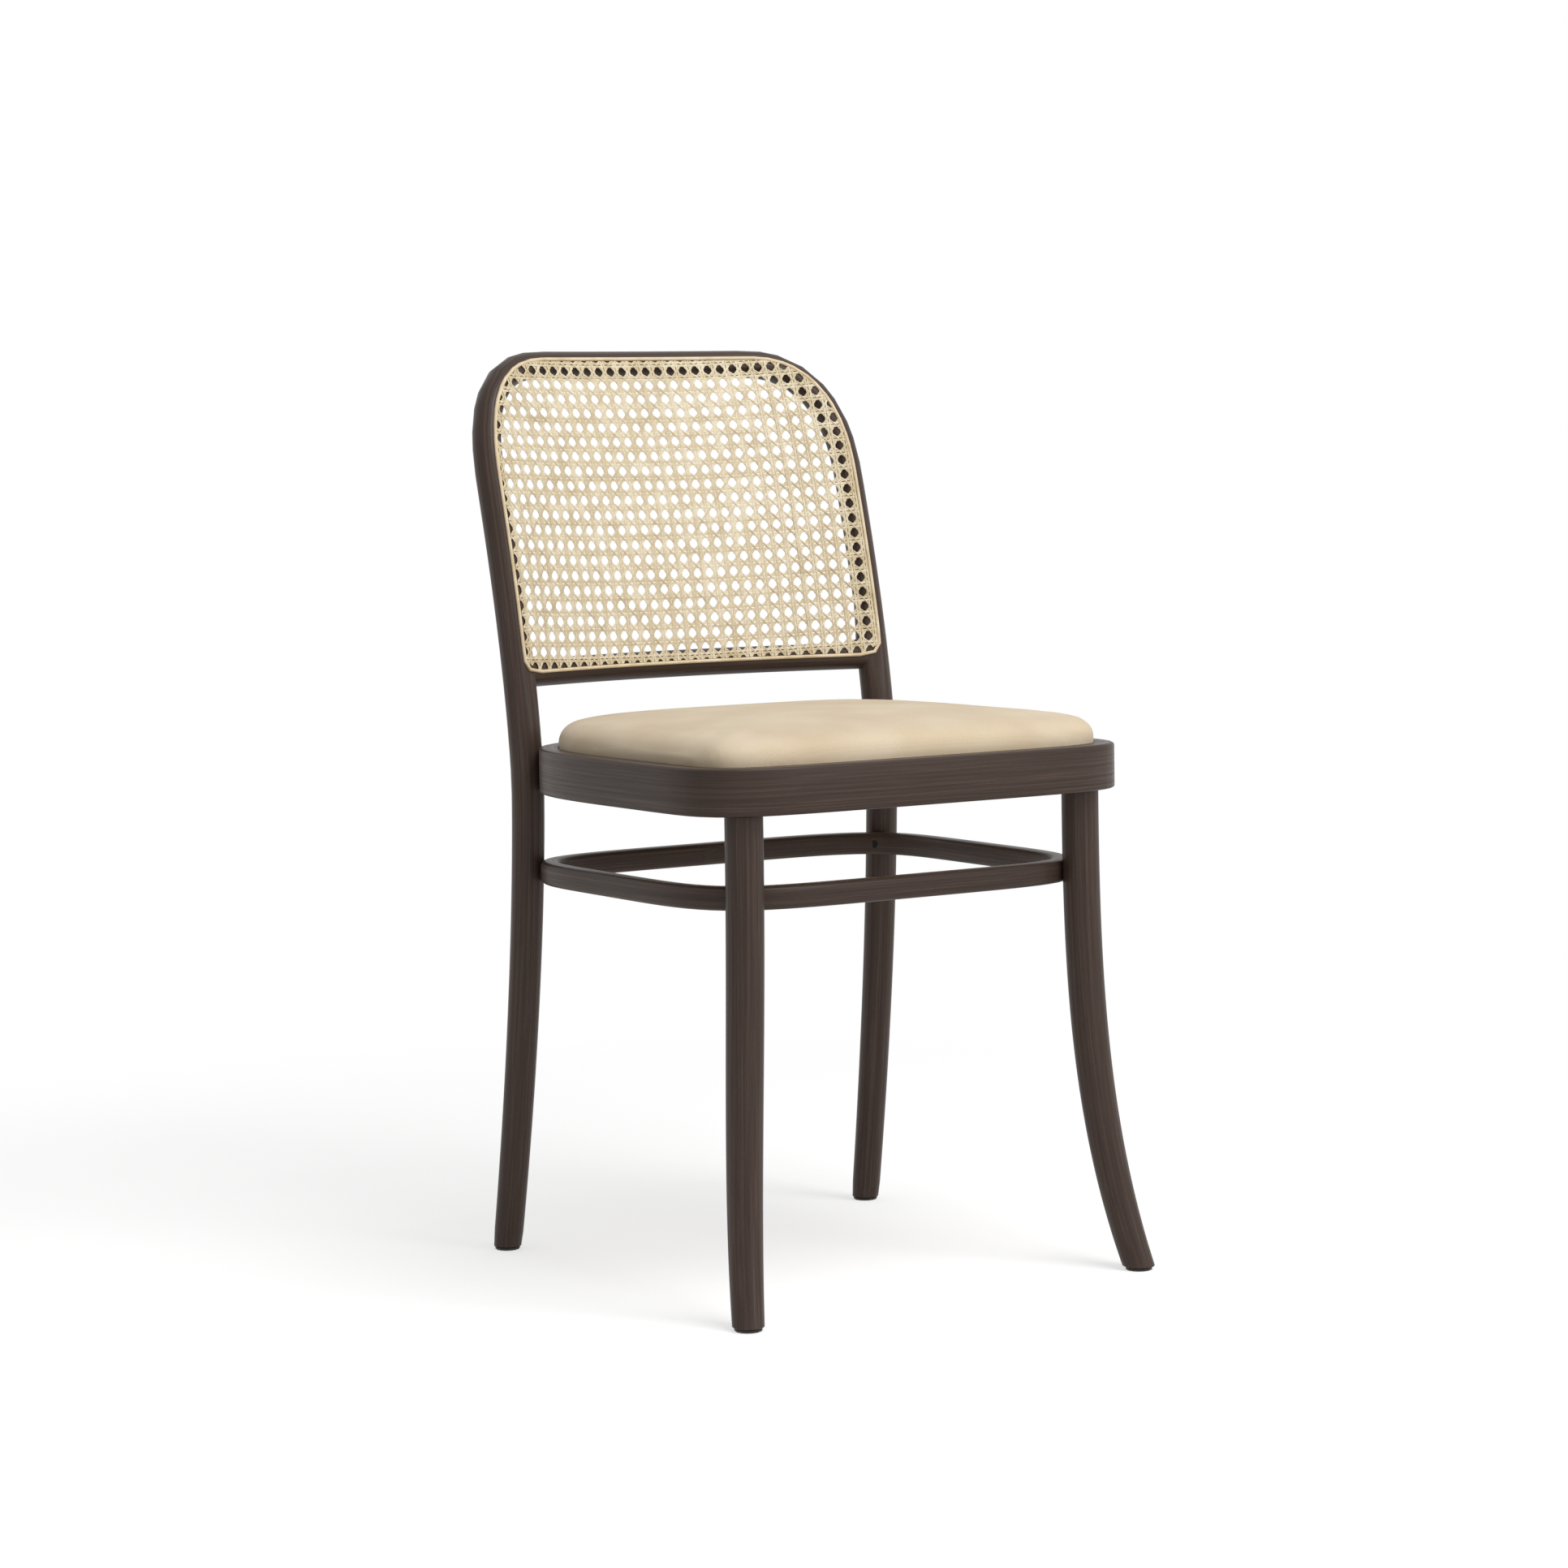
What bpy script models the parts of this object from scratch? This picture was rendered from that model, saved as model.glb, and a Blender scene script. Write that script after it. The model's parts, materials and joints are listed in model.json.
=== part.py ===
"""Bentwood dining chair with a cane back and a drop-in upholstered seat.

Metres, +Z up. The chair faces -Y, its width lies along X, and its four glides stand on Z = 0
with the middle of its bounding box over the origin. Every rod is a swept curve whose line comes
from a few driving sizes, and each joint is cut from the same values plus one named clearance.
"""

import math

import bmesh
import bpy
import numpy as np
from mathutils import Matrix, Vector
from mathutils.geometry import delaunay_2d_cdt

# Fits
GAP = 0.0003  # clearance between two pieces that touch
SEATING = 0.0010  # how deep a rod beds into the ring that it is fixed to

# Back hoop: one bent rod that runs up one rear leg, round the top and down the other leg
ROD_RADIUS = 0.0152
BACK_FOOT_TAPER = 0.0017  # the rod's radius is this much less at the floor
HOOP_FROM_SIDE = 0.0302  # rod axis from the seat ring's widest line, from the seat upward
BACK_FOOT_SPREAD = 0.0058  # further out at the floor
BACK_LINE = 0.1320  # Y of the rod axis where it passes the seat
BACK_FOOT_SWEEP = 0.0498  # further back at the floor
REAR_LEG_BEND = 1.62  # power of the curve of the rear legs
BACK_RAKE = 0.0868  # further back at the top
BACK_BEND = 1.48  # power of the curve of the back, seen from the side
BACK_BOW = 0.0360  # the middle of the back is this much further back than its sides
BEND_HEIGHT = 0.4400  # the rod is upright here and curves away above and below
BACK_HEIGHT = 0.8450  # top of the hoop
CORNER_ACROSS = 0.0857
CORNER_DOWN = 0.1120
CORNER_POWER = 2.513
FLAT_FRONT = 0.0140  # flat milled along the front of the rods, measured from their axis
FLAT_RUNOUT = 0.0120  # length over which the flat fades out below the rail

# Rail across the foot of the back
RAIL_AXIS = 0.5472
DOWEL_RADIUS = 0.0040
DOWEL_LENGTH = 0.0320
DOWEL_IN_HOOP = 0.0125
DOWEL_SPACING = 0.0130
DOWEL_CHAMFER = 0.0008

# Cane panel and the reed bead that holds its edge in a groove
BEAD_RADIUS = 0.00175
BEAD_AXIS = 0.0146  # in front of the rods' axis
BEAD_TOP_LIFT = 0.0030  # the bead runs this much outside the hoop's axis at the top
BEAD_RAIL_DROP = 0.0027  # and this much below the rail's axis
BEAD_CORNER = 0.0140
CANE_THICKNESS = 0.0009
CANE_COLUMNS = 14
CANE_ROWS = 10
CANE_OPENING = 0.0080  # centre to corner of one opening
CANE_RIM = 0.0020  # least band of cane left beside the bead

# Seat ring
RING_HALF_WIDTH = 0.2281
RING_FRONT = -0.2503
RING_WIDEST = -0.1130  # Y where the ring is widest
RING_BOTTOM = 0.4381
RING_HEIGHT = 0.0414
RING_WALL = 0.0300
RING_FRONT_POWER = 5.35
RING_BACK_POWER = 3.95
RING_EDGE = 0.0025
REBATE_INSET = 0.0180
REBATE_DEPTH = 0.0120

# Upholstered seat
BOARD_THICKNESS = 0.0090
COVER_THICKNESS = 0.0012
COVER_CLEARANCE = 0.0012  # between the cover and the wall of the rebate
COVER_HEM = 0.0200  # width of cover turned in under the board
CUSHION_BULGE = 0.0010  # how far the sides swell out above the ring
CUSHION_SIDE = 0.0070  # height of the upright side above the ring
CUSHION_SHOULDER = 0.0260  # width of the band over which the top rounds into the side
CUSHION_DOME = 0.0085  # rise from that band to the middle
DOME_POWER = 2.4
CUSHION_CROWN = 0.0350  # height of the middle above the ring

# Front legs
FRONT_LEG_RADIUS = 0.0168
FRONT_FOOT_TAPER = 0.0028
FRONT_LEG_FROM_SIDE = 0.0483  # leg axis at the ring, from the ring's widest line
FRONT_LEG_FROM_FRONT = 0.0356  # and from its front
FRONT_FOOT_SPREAD = 0.0308
FRONT_FOOT_SWEEP = 0.0420
FRONT_SPREAD_BEND = 2.4
FRONT_SWEEP_BEND = 3.5
TENON_RADIUS = 0.0110
TENON_LENGTH = 0.0240

# Corner blocks that close the ring's front corners round the tenons
BLOCK_REACH = 0.0280  # from the tenon's axis to the block's inner face
BLOCK_CLEARANCE = 0.0010  # below the ledge that carries the seat

# Stretcher ring
STRETCHER_HEIGHT = 0.3633
STRETCHER_TALL = 0.0208
STRETCHER_WIDE = 0.0170
STRETCHER_EDGE = 0.0045
STRETCHER_WIDEST = -0.0122  # Y where it is widest
STRETCHER_BELLY = 0.0225  # how far its sides swell past the places where it meets the rear legs
STRETCHER_FRONT_POWER = 5.0
STRETCHER_BACK_POWER = 4.5

# Fasteners
SCREW_LENGTH = 0.0350
SCREW_SHANK = 0.0020
SCREW_HEAD = 0.0040
SCREW_HEAD_DEPTH = 0.0024
SCREW_RIM = 0.0005
SCREW_POINT = 0.0050
COACH_SHANK = 0.0035
COACH_LENGTH = 0.0480
COACH_HEAD_RADIUS = 0.0058
COACH_HEAD_HEIGHT = 0.0046
WASHER_RADIUS = 0.0090
WASHER_THICKNESS = 0.0015
SPOT_FACE_DEPTH = 0.0030

# Glides
GLIDE_THICKNESS = 0.0030
GLIDE_INSET = 0.0018  # the glide is smaller than the foot all round
GLIDE_PIN_RADIUS = 0.0025
GLIDE_PIN_LENGTH = 0.0120
GLIDE_EDGE = 0.0008

# Fineness of the meshes
ROD_SIDES = 14
HOOP_POINTS = 33  # along one half of the hoop
RAIL_POINTS = 13
FLAT_LEVELS = 26  # of the flat along the rods' front, up the back
FLAT_SLICES = 21  # and across it
LEG_POINTS = 12
RING_POINTS = 56
STRETCHER_POINTS = 48
BEAD_POINTS = 60
BEAD_SIDES = 6
CUSHION_POINTS = 40
SHOULDER_POINTS = 4
DOME_RINGS = 3
MIDDLE_SHARE = 0.3  # the flat round the cushion's middle, as a share of its dome
FASTENER_SIDES = 8
BEND_FLOOR = 3.0  # curvature below which points spread evenly

# Places that follow from the sizes above
BACK_HALF_WIDTH = RING_HALF_WIDTH - HOOP_FROM_SIDE
FRONT_LEG_X = RING_HALF_WIDTH - FRONT_LEG_FROM_SIDE
FRONT_LEG_Y = RING_FRONT + FRONT_LEG_FROM_FRONT
RING_TOP = RING_BOTTOM + RING_HEIGHT
LEDGE = RING_TOP - REBATE_DEPTH
LEDGE_MIDDLE = (RING_BOTTOM + LEDGE) / 2
TOP_AXIS = BACK_HEIGHT - ROD_RADIUS

part = bpy.data.collections.new("cane_back_chair")
cutters = bpy.data.collections.new("cutters")


# Materials


def linear(hex_colour):
    """Linear RGBA of an sRGB colour written as six hex digits."""
    channels = [int(hex_colour[place : place + 2], 16) / 255 for place in (0, 2, 4)]
    curve = [c / 12.92 if c <= 0.04045 else ((c + 0.055) / 1.055) ** 2.4 for c in channels]
    return (*curve, 1.0)


def finish(name, hex_colour, roughness, metallic=0.0):
    material = bpy.data.materials.new(name)
    material.use_nodes = True
    shader = material.node_tree.nodes["Principled BSDF"]
    shader.inputs["Base Color"].default_value = linear(hex_colour)
    shader.inputs["Roughness"].default_value = roughness
    shader.inputs["Metallic"].default_value = metallic
    material.diffuse_color = linear(hex_colour)
    return material


# Lines and outlines


def spaced(points, count):
    """The same open line with count points, closer together where it bends."""
    steps = np.linalg.norm(np.diff(points, axis=0), axis=1)
    length = np.concatenate([[0.0], np.cumsum(steps)])
    tangent = np.gradient(points, length, axis=0)
    bend = np.linalg.norm(np.gradient(tangent, length, axis=0), axis=1)
    weight = np.sqrt(bend + BEND_FLOOR)
    measure = np.concatenate([[0.0], np.cumsum((weight[1:] + weight[:-1]) / 2 * steps)])
    wanted = np.linspace(0.0, measure[-1], count)
    return np.stack([np.interp(wanted, measure, column) for column in points.T], axis=1)


def mirrored_loop(half):
    """A closed loop from its X >= 0 half, which starts and ends on X = 0."""
    return np.concatenate([half, half[-2:0:-1] * [-1, 1]])


def oval(half_width, widest, front, back, front_power, back_power, count):
    """Squared oval, counter-clockwise from the front middle. Each half has its own power."""
    angle = np.linspace(-math.pi / 2, math.pi / 2, 2001)
    across = np.maximum(np.cos(angle), 0.0)
    along = np.sin(angle)
    power = np.where(along < 0, front_power, back_power)
    reach = np.where(along < 0, widest - front, back - widest)
    radius = ((across / half_width) ** power + (np.abs(along) / reach) ** power) ** (-1 / power)
    half = np.stack([radius * across, widest + radius * along], axis=1)
    return mirrored_loop(spaced(half, count // 2 + 1))


def reach_through(point, half_width, widest, power):
    """How far from its widest line an oval must reach for its side to pass through a point."""
    share = 1 - (point[0] / half_width) ** power
    return abs(point[1] - widest) / share ** (1 / power)


def outward(outline):
    """Unit normals of a counter-clockwise outline, true also where its points are uneven."""
    before = outline - np.roll(outline, 1, axis=0)
    after = np.roll(outline, -1, axis=0) - outline
    lengths = np.linalg.norm(before, axis=1)[:, None], np.linalg.norm(after, axis=1)[:, None]
    tangent = before * lengths[1] / lengths[0] + after * lengths[0] / lengths[1]
    tangent /= np.linalg.norm(tangent, axis=1)[:, None]
    return np.stack([tangent[:, 1], -tangent[:, 0]], axis=1)


def inset(outline, distance):
    return outline - outward(outline) * distance


def nearest(outline, point):
    """The outline's point nearest to the one given, on its straight pieces too."""
    start = outline
    run = np.roll(outline, -1, axis=0) - outline
    share = ((point - start) * run).sum(axis=1) / (run**2).sum(axis=1)
    feet = start + np.clip(share, 0, 1)[:, None] * run
    return feet[np.argmin(np.linalg.norm(feet - point, axis=1))]


def beyond(outline, point, way):
    """What is left of an outline on the far side of a line through a point, square to a way."""
    ahead = (outline - point) @ way
    kept = []
    for first in range(len(outline)):
        second = (first + 1) % len(outline)
        if ahead[first] > 0:
            kept.append(outline[first])
        if (ahead[first] > 0) != (ahead[second] > 0):
            share = ahead[first] / (ahead[first] - ahead[second])
            kept.append(outline[first] + share * (outline[second] - outline[first]))
    return np.array(kept)


def holds(outline, point):
    """Whether a point lies inside an outline, by the edges that a line upward from it crosses."""
    start = outline
    end = np.roll(outline, -1, axis=0)
    spans = (start[:, 0] > point[0]) != (end[:, 0] > point[0])
    run = (end - start)[spans]
    level = start[spans, 1] + (point[0] - start[spans, 0]) * run[:, 1] / run[:, 0]
    return np.count_nonzero(level > point[1]) % 2 == 1


# Objects


def link(obj, material=None, collection=part):
    collection.objects.link(obj)
    if material:
        obj.data.materials.clear()
        obj.data.materials.append(material)
    if collection is cutters:
        obj.hide_render = True
        obj.display_type = "WIRE"
    return obj


def smooth(obj):
    obj.data.shade_smooth()
    obj.data.set_sharp_from_angle(angle=math.radians(35))
    return obj


def swept(name, points, radii, cyclic=False):
    """A round rod along a line, as a curve object whose radius may change from point to point."""
    curve = bpy.data.curves.new(name, "CURVE")
    curve.dimensions = "3D"
    curve.bevel_depth = 1.0
    curve.bevel_resolution = (ROD_SIDES - 4) // 2
    curve.use_fill_caps = True
    line = curve.splines.new("POLY")
    line.points.add(len(points) - 1)
    for target, point, radius in zip(line.points, points, radii):
        target.co = (*point, 1.0)
        target.radius = radius
    line.use_cyclic_u = cyclic
    return bpy.data.objects.new(name, curve)


def section_curve(name, points):
    """A closed section, given as (inward, upward) points, that a rail is swept with."""
    curve = bpy.data.curves.new(name, "CURVE")
    curve.dimensions = "2D"
    curve.fill_mode = "NONE"
    line = curve.splines.new("POLY")
    line.points.add(len(points) - 1)
    for target, (inward, upward) in zip(line.points, points):
        target.co = (-inward, upward, 0.0, 1.0)
    line.use_cyclic_u = True
    return link(bpy.data.objects.new(name, curve), collection=cutters)


def ring_of_section(name, outline, height, section):
    """A level ring whose section hangs from an outline: inward is 0 on the outline itself."""
    curve = bpy.data.curves.new(name, "CURVE")
    curve.dimensions = "3D"
    curve.twist_mode = "Z_UP"
    curve.bevel_mode = "OBJECT"
    curve.bevel_object = section_curve(f"{name}_section", section)
    line = curve.splines.new("POLY")
    line.points.add(len(outline) - 1)
    for target, point in zip(line.points, outline):
        target.co = (*point, height, 1.0)
    line.use_cyclic_u = True
    return bpy.data.objects.new(name, curve)


def as_mesh(curve_object, material=None, collection=part):
    """Turns a curve object into a mesh object in the same place, with its caps welded on."""
    if not curve_object.users_collection:
        bpy.context.scene.collection.objects.link(curve_object)
    bpy.context.view_layer.update()
    graph = bpy.context.evaluated_depsgraph_get()
    mesh = bpy.data.meshes.new_from_object(curve_object.evaluated_get(graph))
    work = bmesh.new()
    work.from_mesh(mesh)
    bmesh.ops.remove_doubles(work, verts=work.verts, dist=1e-6)
    bmesh.ops.recalc_face_normals(work, faces=work.faces)
    work.to_mesh(mesh)
    work.free()
    name = curve_object.name
    place = curve_object.matrix_world.copy()
    bpy.data.objects.remove(curve_object)
    obj = bpy.data.objects.new(name, mesh)
    obj.matrix_world = place
    return link(obj, material, collection)


def plate(name, outlines, bottom, top, material=None, collection=part):
    """A flat outline, with any holes as further outlines, between two heights."""
    curve = bpy.data.curves.new(name, "CURVE")
    curve.dimensions = "2D"
    curve.fill_mode = "BOTH"
    curve.extrude = (top - bottom) / 2
    for outline in outlines:
        line = curve.splines.new("POLY")
        line.points.add(len(outline) - 1)
        for target, point in zip(line.points, outline):
            target.co = (*point, 0.0, 1.0)
        line.use_cyclic_u = True
    obj = bpy.data.objects.new(name, curve)
    obj.location.z = (top + bottom) / 2
    return as_mesh(obj, material, collection)


def turned(name, profile, sides=FASTENER_SIDES):
    """Mesh turned about Z from (radius, height) points that run from the top down."""
    mesh = bpy.data.meshes.new(name)
    points = [(radius, 0.0, height) for radius, height in profile]
    edges = [(first, first + 1) for first in range(len(points) - 1)]
    mesh.from_pydata(points, edges, [])
    blank = bpy.data.objects.new(name, mesh)
    bpy.context.scene.collection.objects.link(blank)
    screw = blank.modifiers.new("turn", "SCREW")
    screw.steps = sides
    screw.render_steps = sides
    screw.use_merge_vertices = True
    screw.merge_threshold = 0.00001
    bpy.context.view_layer.update()
    graph = bpy.context.evaluated_depsgraph_get()
    result = bpy.data.meshes.new_from_object(blank.evaluated_get(graph))
    bpy.data.objects.remove(blank)
    return result


def aimed(point, direction):
    """Places a turned piece with its top at a point and its tip along a direction."""
    turn = Vector((0, 0, -1)).rotation_difference(Vector(direction)).to_matrix().to_4x4()
    return Matrix.Translation(Vector(point)) @ turn


def placed(name, mesh, places, material):
    """A copy of a mesh at each named place, every copy its own object: {label: place}."""
    pieces = {}
    for label, place in places.items():
        piece = link(bpy.data.objects.new(f"{name}_{label}", mesh), material)
        piece.matrix_world = place
        pieces[label] = piece
    return pieces


def cutter_group(name, mesh, places):
    """One cutter that holds a copy of a mesh at each place."""
    work = bmesh.new()
    for place in places.values():
        copy = mesh.copy()
        copy.transform(place)
        work.from_mesh(copy)
        bpy.data.meshes.remove(copy)
    joined = bpy.data.meshes.new(name)
    work.to_mesh(joined)
    work.free()
    return link(bpy.data.objects.new(name, joined), collection=cutters)


def lofted(name, rings, capped, material=None, collection=part):
    """Skin through level rings of equal count, given as (outline, height) from the bottom up.

    The last ring is closed by a face, and the first one too where capped is set.
    """
    work = bmesh.new()
    loops = [[work.verts.new((*point, height)) for point in outline] for outline, height in rings]
    for lower, upper in zip(loops, loops[1:]):
        for first in range(len(lower)):
            second = (first + 1) % len(lower)
            work.faces.new((lower[first], lower[second], upper[second], upper[first]))
    work.faces.new(loops[-1])
    if capped:
        work.faces.new(loops[0][::-1])
    mesh = bpy.data.meshes.new(name)
    work.to_mesh(mesh)
    work.free()
    return link(bpy.data.objects.new(name, mesh), material, collection)


def cut(target, cutter):
    modifier = target.modifiers.new(f"cut by {cutter.name}", "BOOLEAN")
    modifier.operation = "DIFFERENCE"
    modifier.object = cutter


# Lines of the chair


def back_y(height):
    """Y of the side rods' axis at a height: upright at the bend, swept back above and below it."""
    above = max(height - BEND_HEIGHT, 0.0) / (TOP_AXIS - BEND_HEIGHT)
    below = max(BEND_HEIGHT - height, 0.0) / BEND_HEIGHT
    return BACK_LINE + BACK_RAKE * above**BACK_BEND + BACK_FOOT_SWEEP * below**REAR_LEG_BEND


def bow(across):
    """How much further back than its sides the back is, which is hollow towards the sitter."""
    return BACK_BOW * (1 - (across / BACK_HALF_WIDTH) ** 2)


def bow_slope(across):
    return -2 * BACK_BOW * across / BACK_HALF_WIDTH**2


def back_normal(height):
    """Unit vector square to the back in side view, pointing forward."""
    step = 0.001
    slope = (back_y(height + step) - back_y(height - step)) / (2 * step)
    return Vector((0.0, -1.0, slope)).normalized()


def back_point(across, height, forward):
    """Point at a distance in front of the rods' axis, measured square to the back in side view."""
    return Vector((across, back_y(height) + bow(across), height)) + forward * back_normal(height)


def rear_leg_x(height):
    below = max(BEND_HEIGHT - height, 0.0) / BEND_HEIGHT
    return BACK_HALF_WIDTH + BACK_FOOT_SPREAD * below**REAR_LEG_BEND


def rear_leg_radius(height):
    below = max(BEND_HEIGHT - height, 0.0) / BEND_HEIGHT
    return ROD_RADIUS - BACK_FOOT_TAPER * below**REAR_LEG_BEND


def rear_leg_centre(height):
    return np.array([rear_leg_x(height), back_y(height)])


def front_leg_share(height):
    return max(RING_BOTTOM - height, 0.0) / RING_BOTTOM


def front_leg_centre(height):
    share = front_leg_share(height)
    x = FRONT_LEG_X + FRONT_FOOT_SPREAD * share**FRONT_SPREAD_BEND
    y = FRONT_LEG_Y - FRONT_FOOT_SWEEP * share**FRONT_SWEEP_BEND
    return np.array([x, y])


def front_leg_radius(height):
    return FRONT_LEG_RADIUS - FRONT_FOOT_TAPER * front_leg_share(height) ** FRONT_SWEEP_BEND


def straight(start, end):
    """Points along a line, close enough together for it to be bent afterwards."""
    return np.linspace(start, end, 60)


def top_corner(lift):
    """Half of the hoop's front view above its straight side: (across, height), outside first."""
    start = TOP_AXIS - CORNER_DOWN
    down = CORNER_DOWN + lift
    angle = np.linspace(0, math.pi / 2, 400)
    across = BACK_HALF_WIDTH - CORNER_ACROSS * (1 - np.cos(angle) ** (2 / CORNER_POWER))
    height = start + down * np.sin(angle) ** (2 / CORNER_POWER)
    corner = np.stack([across, height], axis=1)
    return np.concatenate([corner, straight(corner[-1], (0.0, start + down))[1:]])


def hoop_line():
    """Axis of the whole hoop from the right foot over the top to the left foot."""
    overshoot = -2 * GLIDE_THICKNESS
    heights = np.linspace(overshoot, TOP_AXIS - CORNER_DOWN, 200)[:-1]
    side = np.array([[rear_leg_x(height), height] for height in heights])
    half = np.concatenate([side, top_corner(0.0)])
    points = np.array([[x, back_y(z) + bow(min(x, BACK_HALF_WIDTH)), z] for x, z in half])
    half = spaced(points, HOOP_POINTS)
    return np.concatenate([half, half[-2::-1] * [-1, 1, 1]])


def bead_line(inset_by):
    """Front view of the bead, or of a line inside it, counter-clockwise: (across, height)."""
    bottom = RAIL_AXIS - BEAD_RAIL_DROP
    angle = np.linspace(-math.pi / 2, 0, 100)
    across = BACK_HALF_WIDTH - BEAD_CORNER + BEAD_CORNER * np.cos(angle)
    height = bottom + BEAD_CORNER + BEAD_CORNER * np.sin(angle)
    corner = np.stack([across, height], axis=1)
    foot = straight((0.0, bottom), corner[0])[:-1]
    half = np.concatenate([foot, corner, top_corner(BEAD_TOP_LIFT)])
    loop = mirrored_loop(spaced(half, BEAD_POINTS // 2 + 1))
    return inset(loop, inset_by)


def ring_outline(count=RING_POINTS):
    """The seat ring's outside. Its back is as deep as it takes to bed against the rear legs."""
    centre = rear_leg_centre(LEDGE_MIDDLE)
    outward_leg = Vector((1.0, 1.0)).normalized()
    touch = centre - (rear_leg_radius(LEDGE_MIDDLE) - SEATING) * np.array(outward_leg)
    reach = reach_through(touch, RING_HALF_WIDTH, RING_WIDEST, RING_BACK_POWER)
    back = RING_WIDEST + reach
    powers = RING_FRONT_POWER, RING_BACK_POWER
    return oval(RING_HALF_WIDTH, RING_WIDEST, RING_FRONT, back, *powers, count)


def stretcher_outline():
    """The stretcher ring's outside, which beds against the inner sides of all four legs."""
    diagonal = np.array(Vector((1.0, 1.0)).normalized())
    rear = rear_leg_centre(STRETCHER_HEIGHT)
    rear = rear - (rear_leg_radius(STRETCHER_HEIGHT) - SEATING) * diagonal
    front = front_leg_centre(STRETCHER_HEIGHT)
    front = front - (front_leg_radius(STRETCHER_HEIGHT) - SEATING) * diagonal * [1, -1]
    half_width = rear[0] + STRETCHER_BELLY
    back = STRETCHER_WIDEST + reach_through(rear, half_width, STRETCHER_WIDEST, STRETCHER_BACK_POWER)
    ahead = STRETCHER_WIDEST - reach_through(front, half_width, STRETCHER_WIDEST, STRETCHER_FRONT_POWER)
    powers = STRETCHER_FRONT_POWER, STRETCHER_BACK_POWER
    return oval(half_width, STRETCHER_WIDEST, ahead, back, *powers, STRETCHER_POINTS)


def both_sides(point):
    """A point of the right half and its mirror image, by the name of the side."""
    return {"right": np.array(point), "left": np.array(point) * [-1, 1]}


# Start from an empty scene

for old in list(bpy.data.objects):
    bpy.data.objects.remove(old)
bpy.context.scene.collection.children.link(part)
bpy.context.scene.collection.children.link(cutters)

stained_beech = finish("stained_beech", "40352F", 0.38)
raw_beech = finish("raw_beech", "C7A878", 0.65)
plywood = finish("birch_plywood", "CDB38B", 0.70)
cane = finish("cane", "D6C39C", 0.50)
reed = finish("reed", "D9C6A3", 0.45)
cover_fabric = finish("beige_cover", "D8C8AF", 0.75)
foam = finish("foam", "E8DFC4", 0.90)
steel = finish("zinc_plated_steel", "B4B5B2", 0.35, 1.0)
dark_plastic = finish("dark_plastic", "1E1B19", 0.45)


# Shared line of each ring

ring_line = ring_outline()
stretcher_line = stretcher_outline()


# Back hoop


def hoop_curve(name, extra):
    points = hoop_line()
    radii = [rear_leg_radius(point[2]) + extra for point in points]
    return swept(name, points, radii)


back_hoop = smooth(as_mesh(hoop_curve("back_hoop", 0.0), stained_beech))
hoop_bed = as_mesh(hoop_curve("hoop_bed", GAP), collection=cutters)

rail_places = np.linspace(-BACK_HALF_WIDTH, BACK_HALF_WIDTH, RAIL_POINTS)
rail_line = [back_point(across, RAIL_AXIS, 0.0) for across in rail_places]
rail_curve = swept("back_rail", rail_line, [ROD_RADIUS] * RAIL_POINTS)
back_rail = smooth(as_mesh(rail_curve, stained_beech))
cut(back_rail, hoop_bed)


def flat_side_view(across):
    """Side view of the cutter at one place across the back: its face from the foot up, then ahead of it."""
    start = RAIL_AXIS - ROD_RADIUS
    heights = np.linspace(start, BACK_HEIGHT, FLAT_LEVELS)
    face = [back_point(across, height, FLAT_FRONT) for height in heights]
    face.insert(0, back_point(across, start - FLAT_RUNOUT, ROD_RADIUS + GAP))
    side_view = [(point.y, point.z) for point in face]
    ahead = BACK_BOW + 3 * ROD_RADIUS
    top, bottom = side_view[-1], side_view[0]
    return side_view + [(top[0] - ahead, top[1]), (bottom[0] - ahead, bottom[1])]


def front_flat_cutter():
    """Takes the front off the rods down to the hollow surface that the cane lies on."""
    reach = BACK_HALF_WIDTH + 2 * ROD_RADIUS
    places = np.linspace(-reach, reach, FLAT_SLICES)
    slices = [(flat_side_view(across), across) for across in places]
    cutter = lofted("front_flat", slices, True, collection=cutters)
    cutter.data.transform(Matrix(((0, 0, 1), (1, 0, 0), (0, 1, 0))).to_4x4())
    return cutter


def bead_curve(name, radius):
    line = bead_line(0.0)
    points = [back_point(across, height, BEAD_AXIS) for across, height in line]
    curve = swept(name, points, [radius] * len(points), cyclic=True)
    curve.data.bevel_resolution = (BEAD_SIDES - 4) // 2
    return curve


front_flat = front_flat_cutter()
bead_groove = as_mesh(bead_curve("bead_groove", BEAD_RADIUS + GAP), collection=cutters)
for wood in (back_hoop, back_rail):
    cut(wood, front_flat)
    cut(wood, bead_groove)


# Cane bead and panel

cane_bead = smooth(as_mesh(bead_curve("cane_bead", BEAD_RADIUS), reed))


def opening(centre):
    """One eight-sided opening of the weave, counter-clockwise, as a hole in the panel."""
    corners = 8
    turns = [(corner + 0.5) * 2 * math.pi / corners for corner in range(corners)]
    offsets = np.stack([np.cos(turns), np.sin(turns)], axis=1) * CANE_OPENING
    return centre + offsets


def cane_openings(edge):
    """Openings on a square grid, left out where the rounded edge comes too near."""
    low = edge.min(axis=0)
    span = edge.max(axis=0) - low
    pitch = span / [CANE_COLUMNS, CANE_ROWS]
    holes = []
    for row in range(CANE_ROWS):
        for column in range(CANE_COLUMNS):
            centre = low + (np.array([column, row]) + 0.5) * pitch
            room = np.linalg.norm(nearest(edge, centre) - centre)
            if holds(edge, centre) and room > CANE_OPENING + CANE_RIM:
                holes.append(opening(centre))
    return holes


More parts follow.
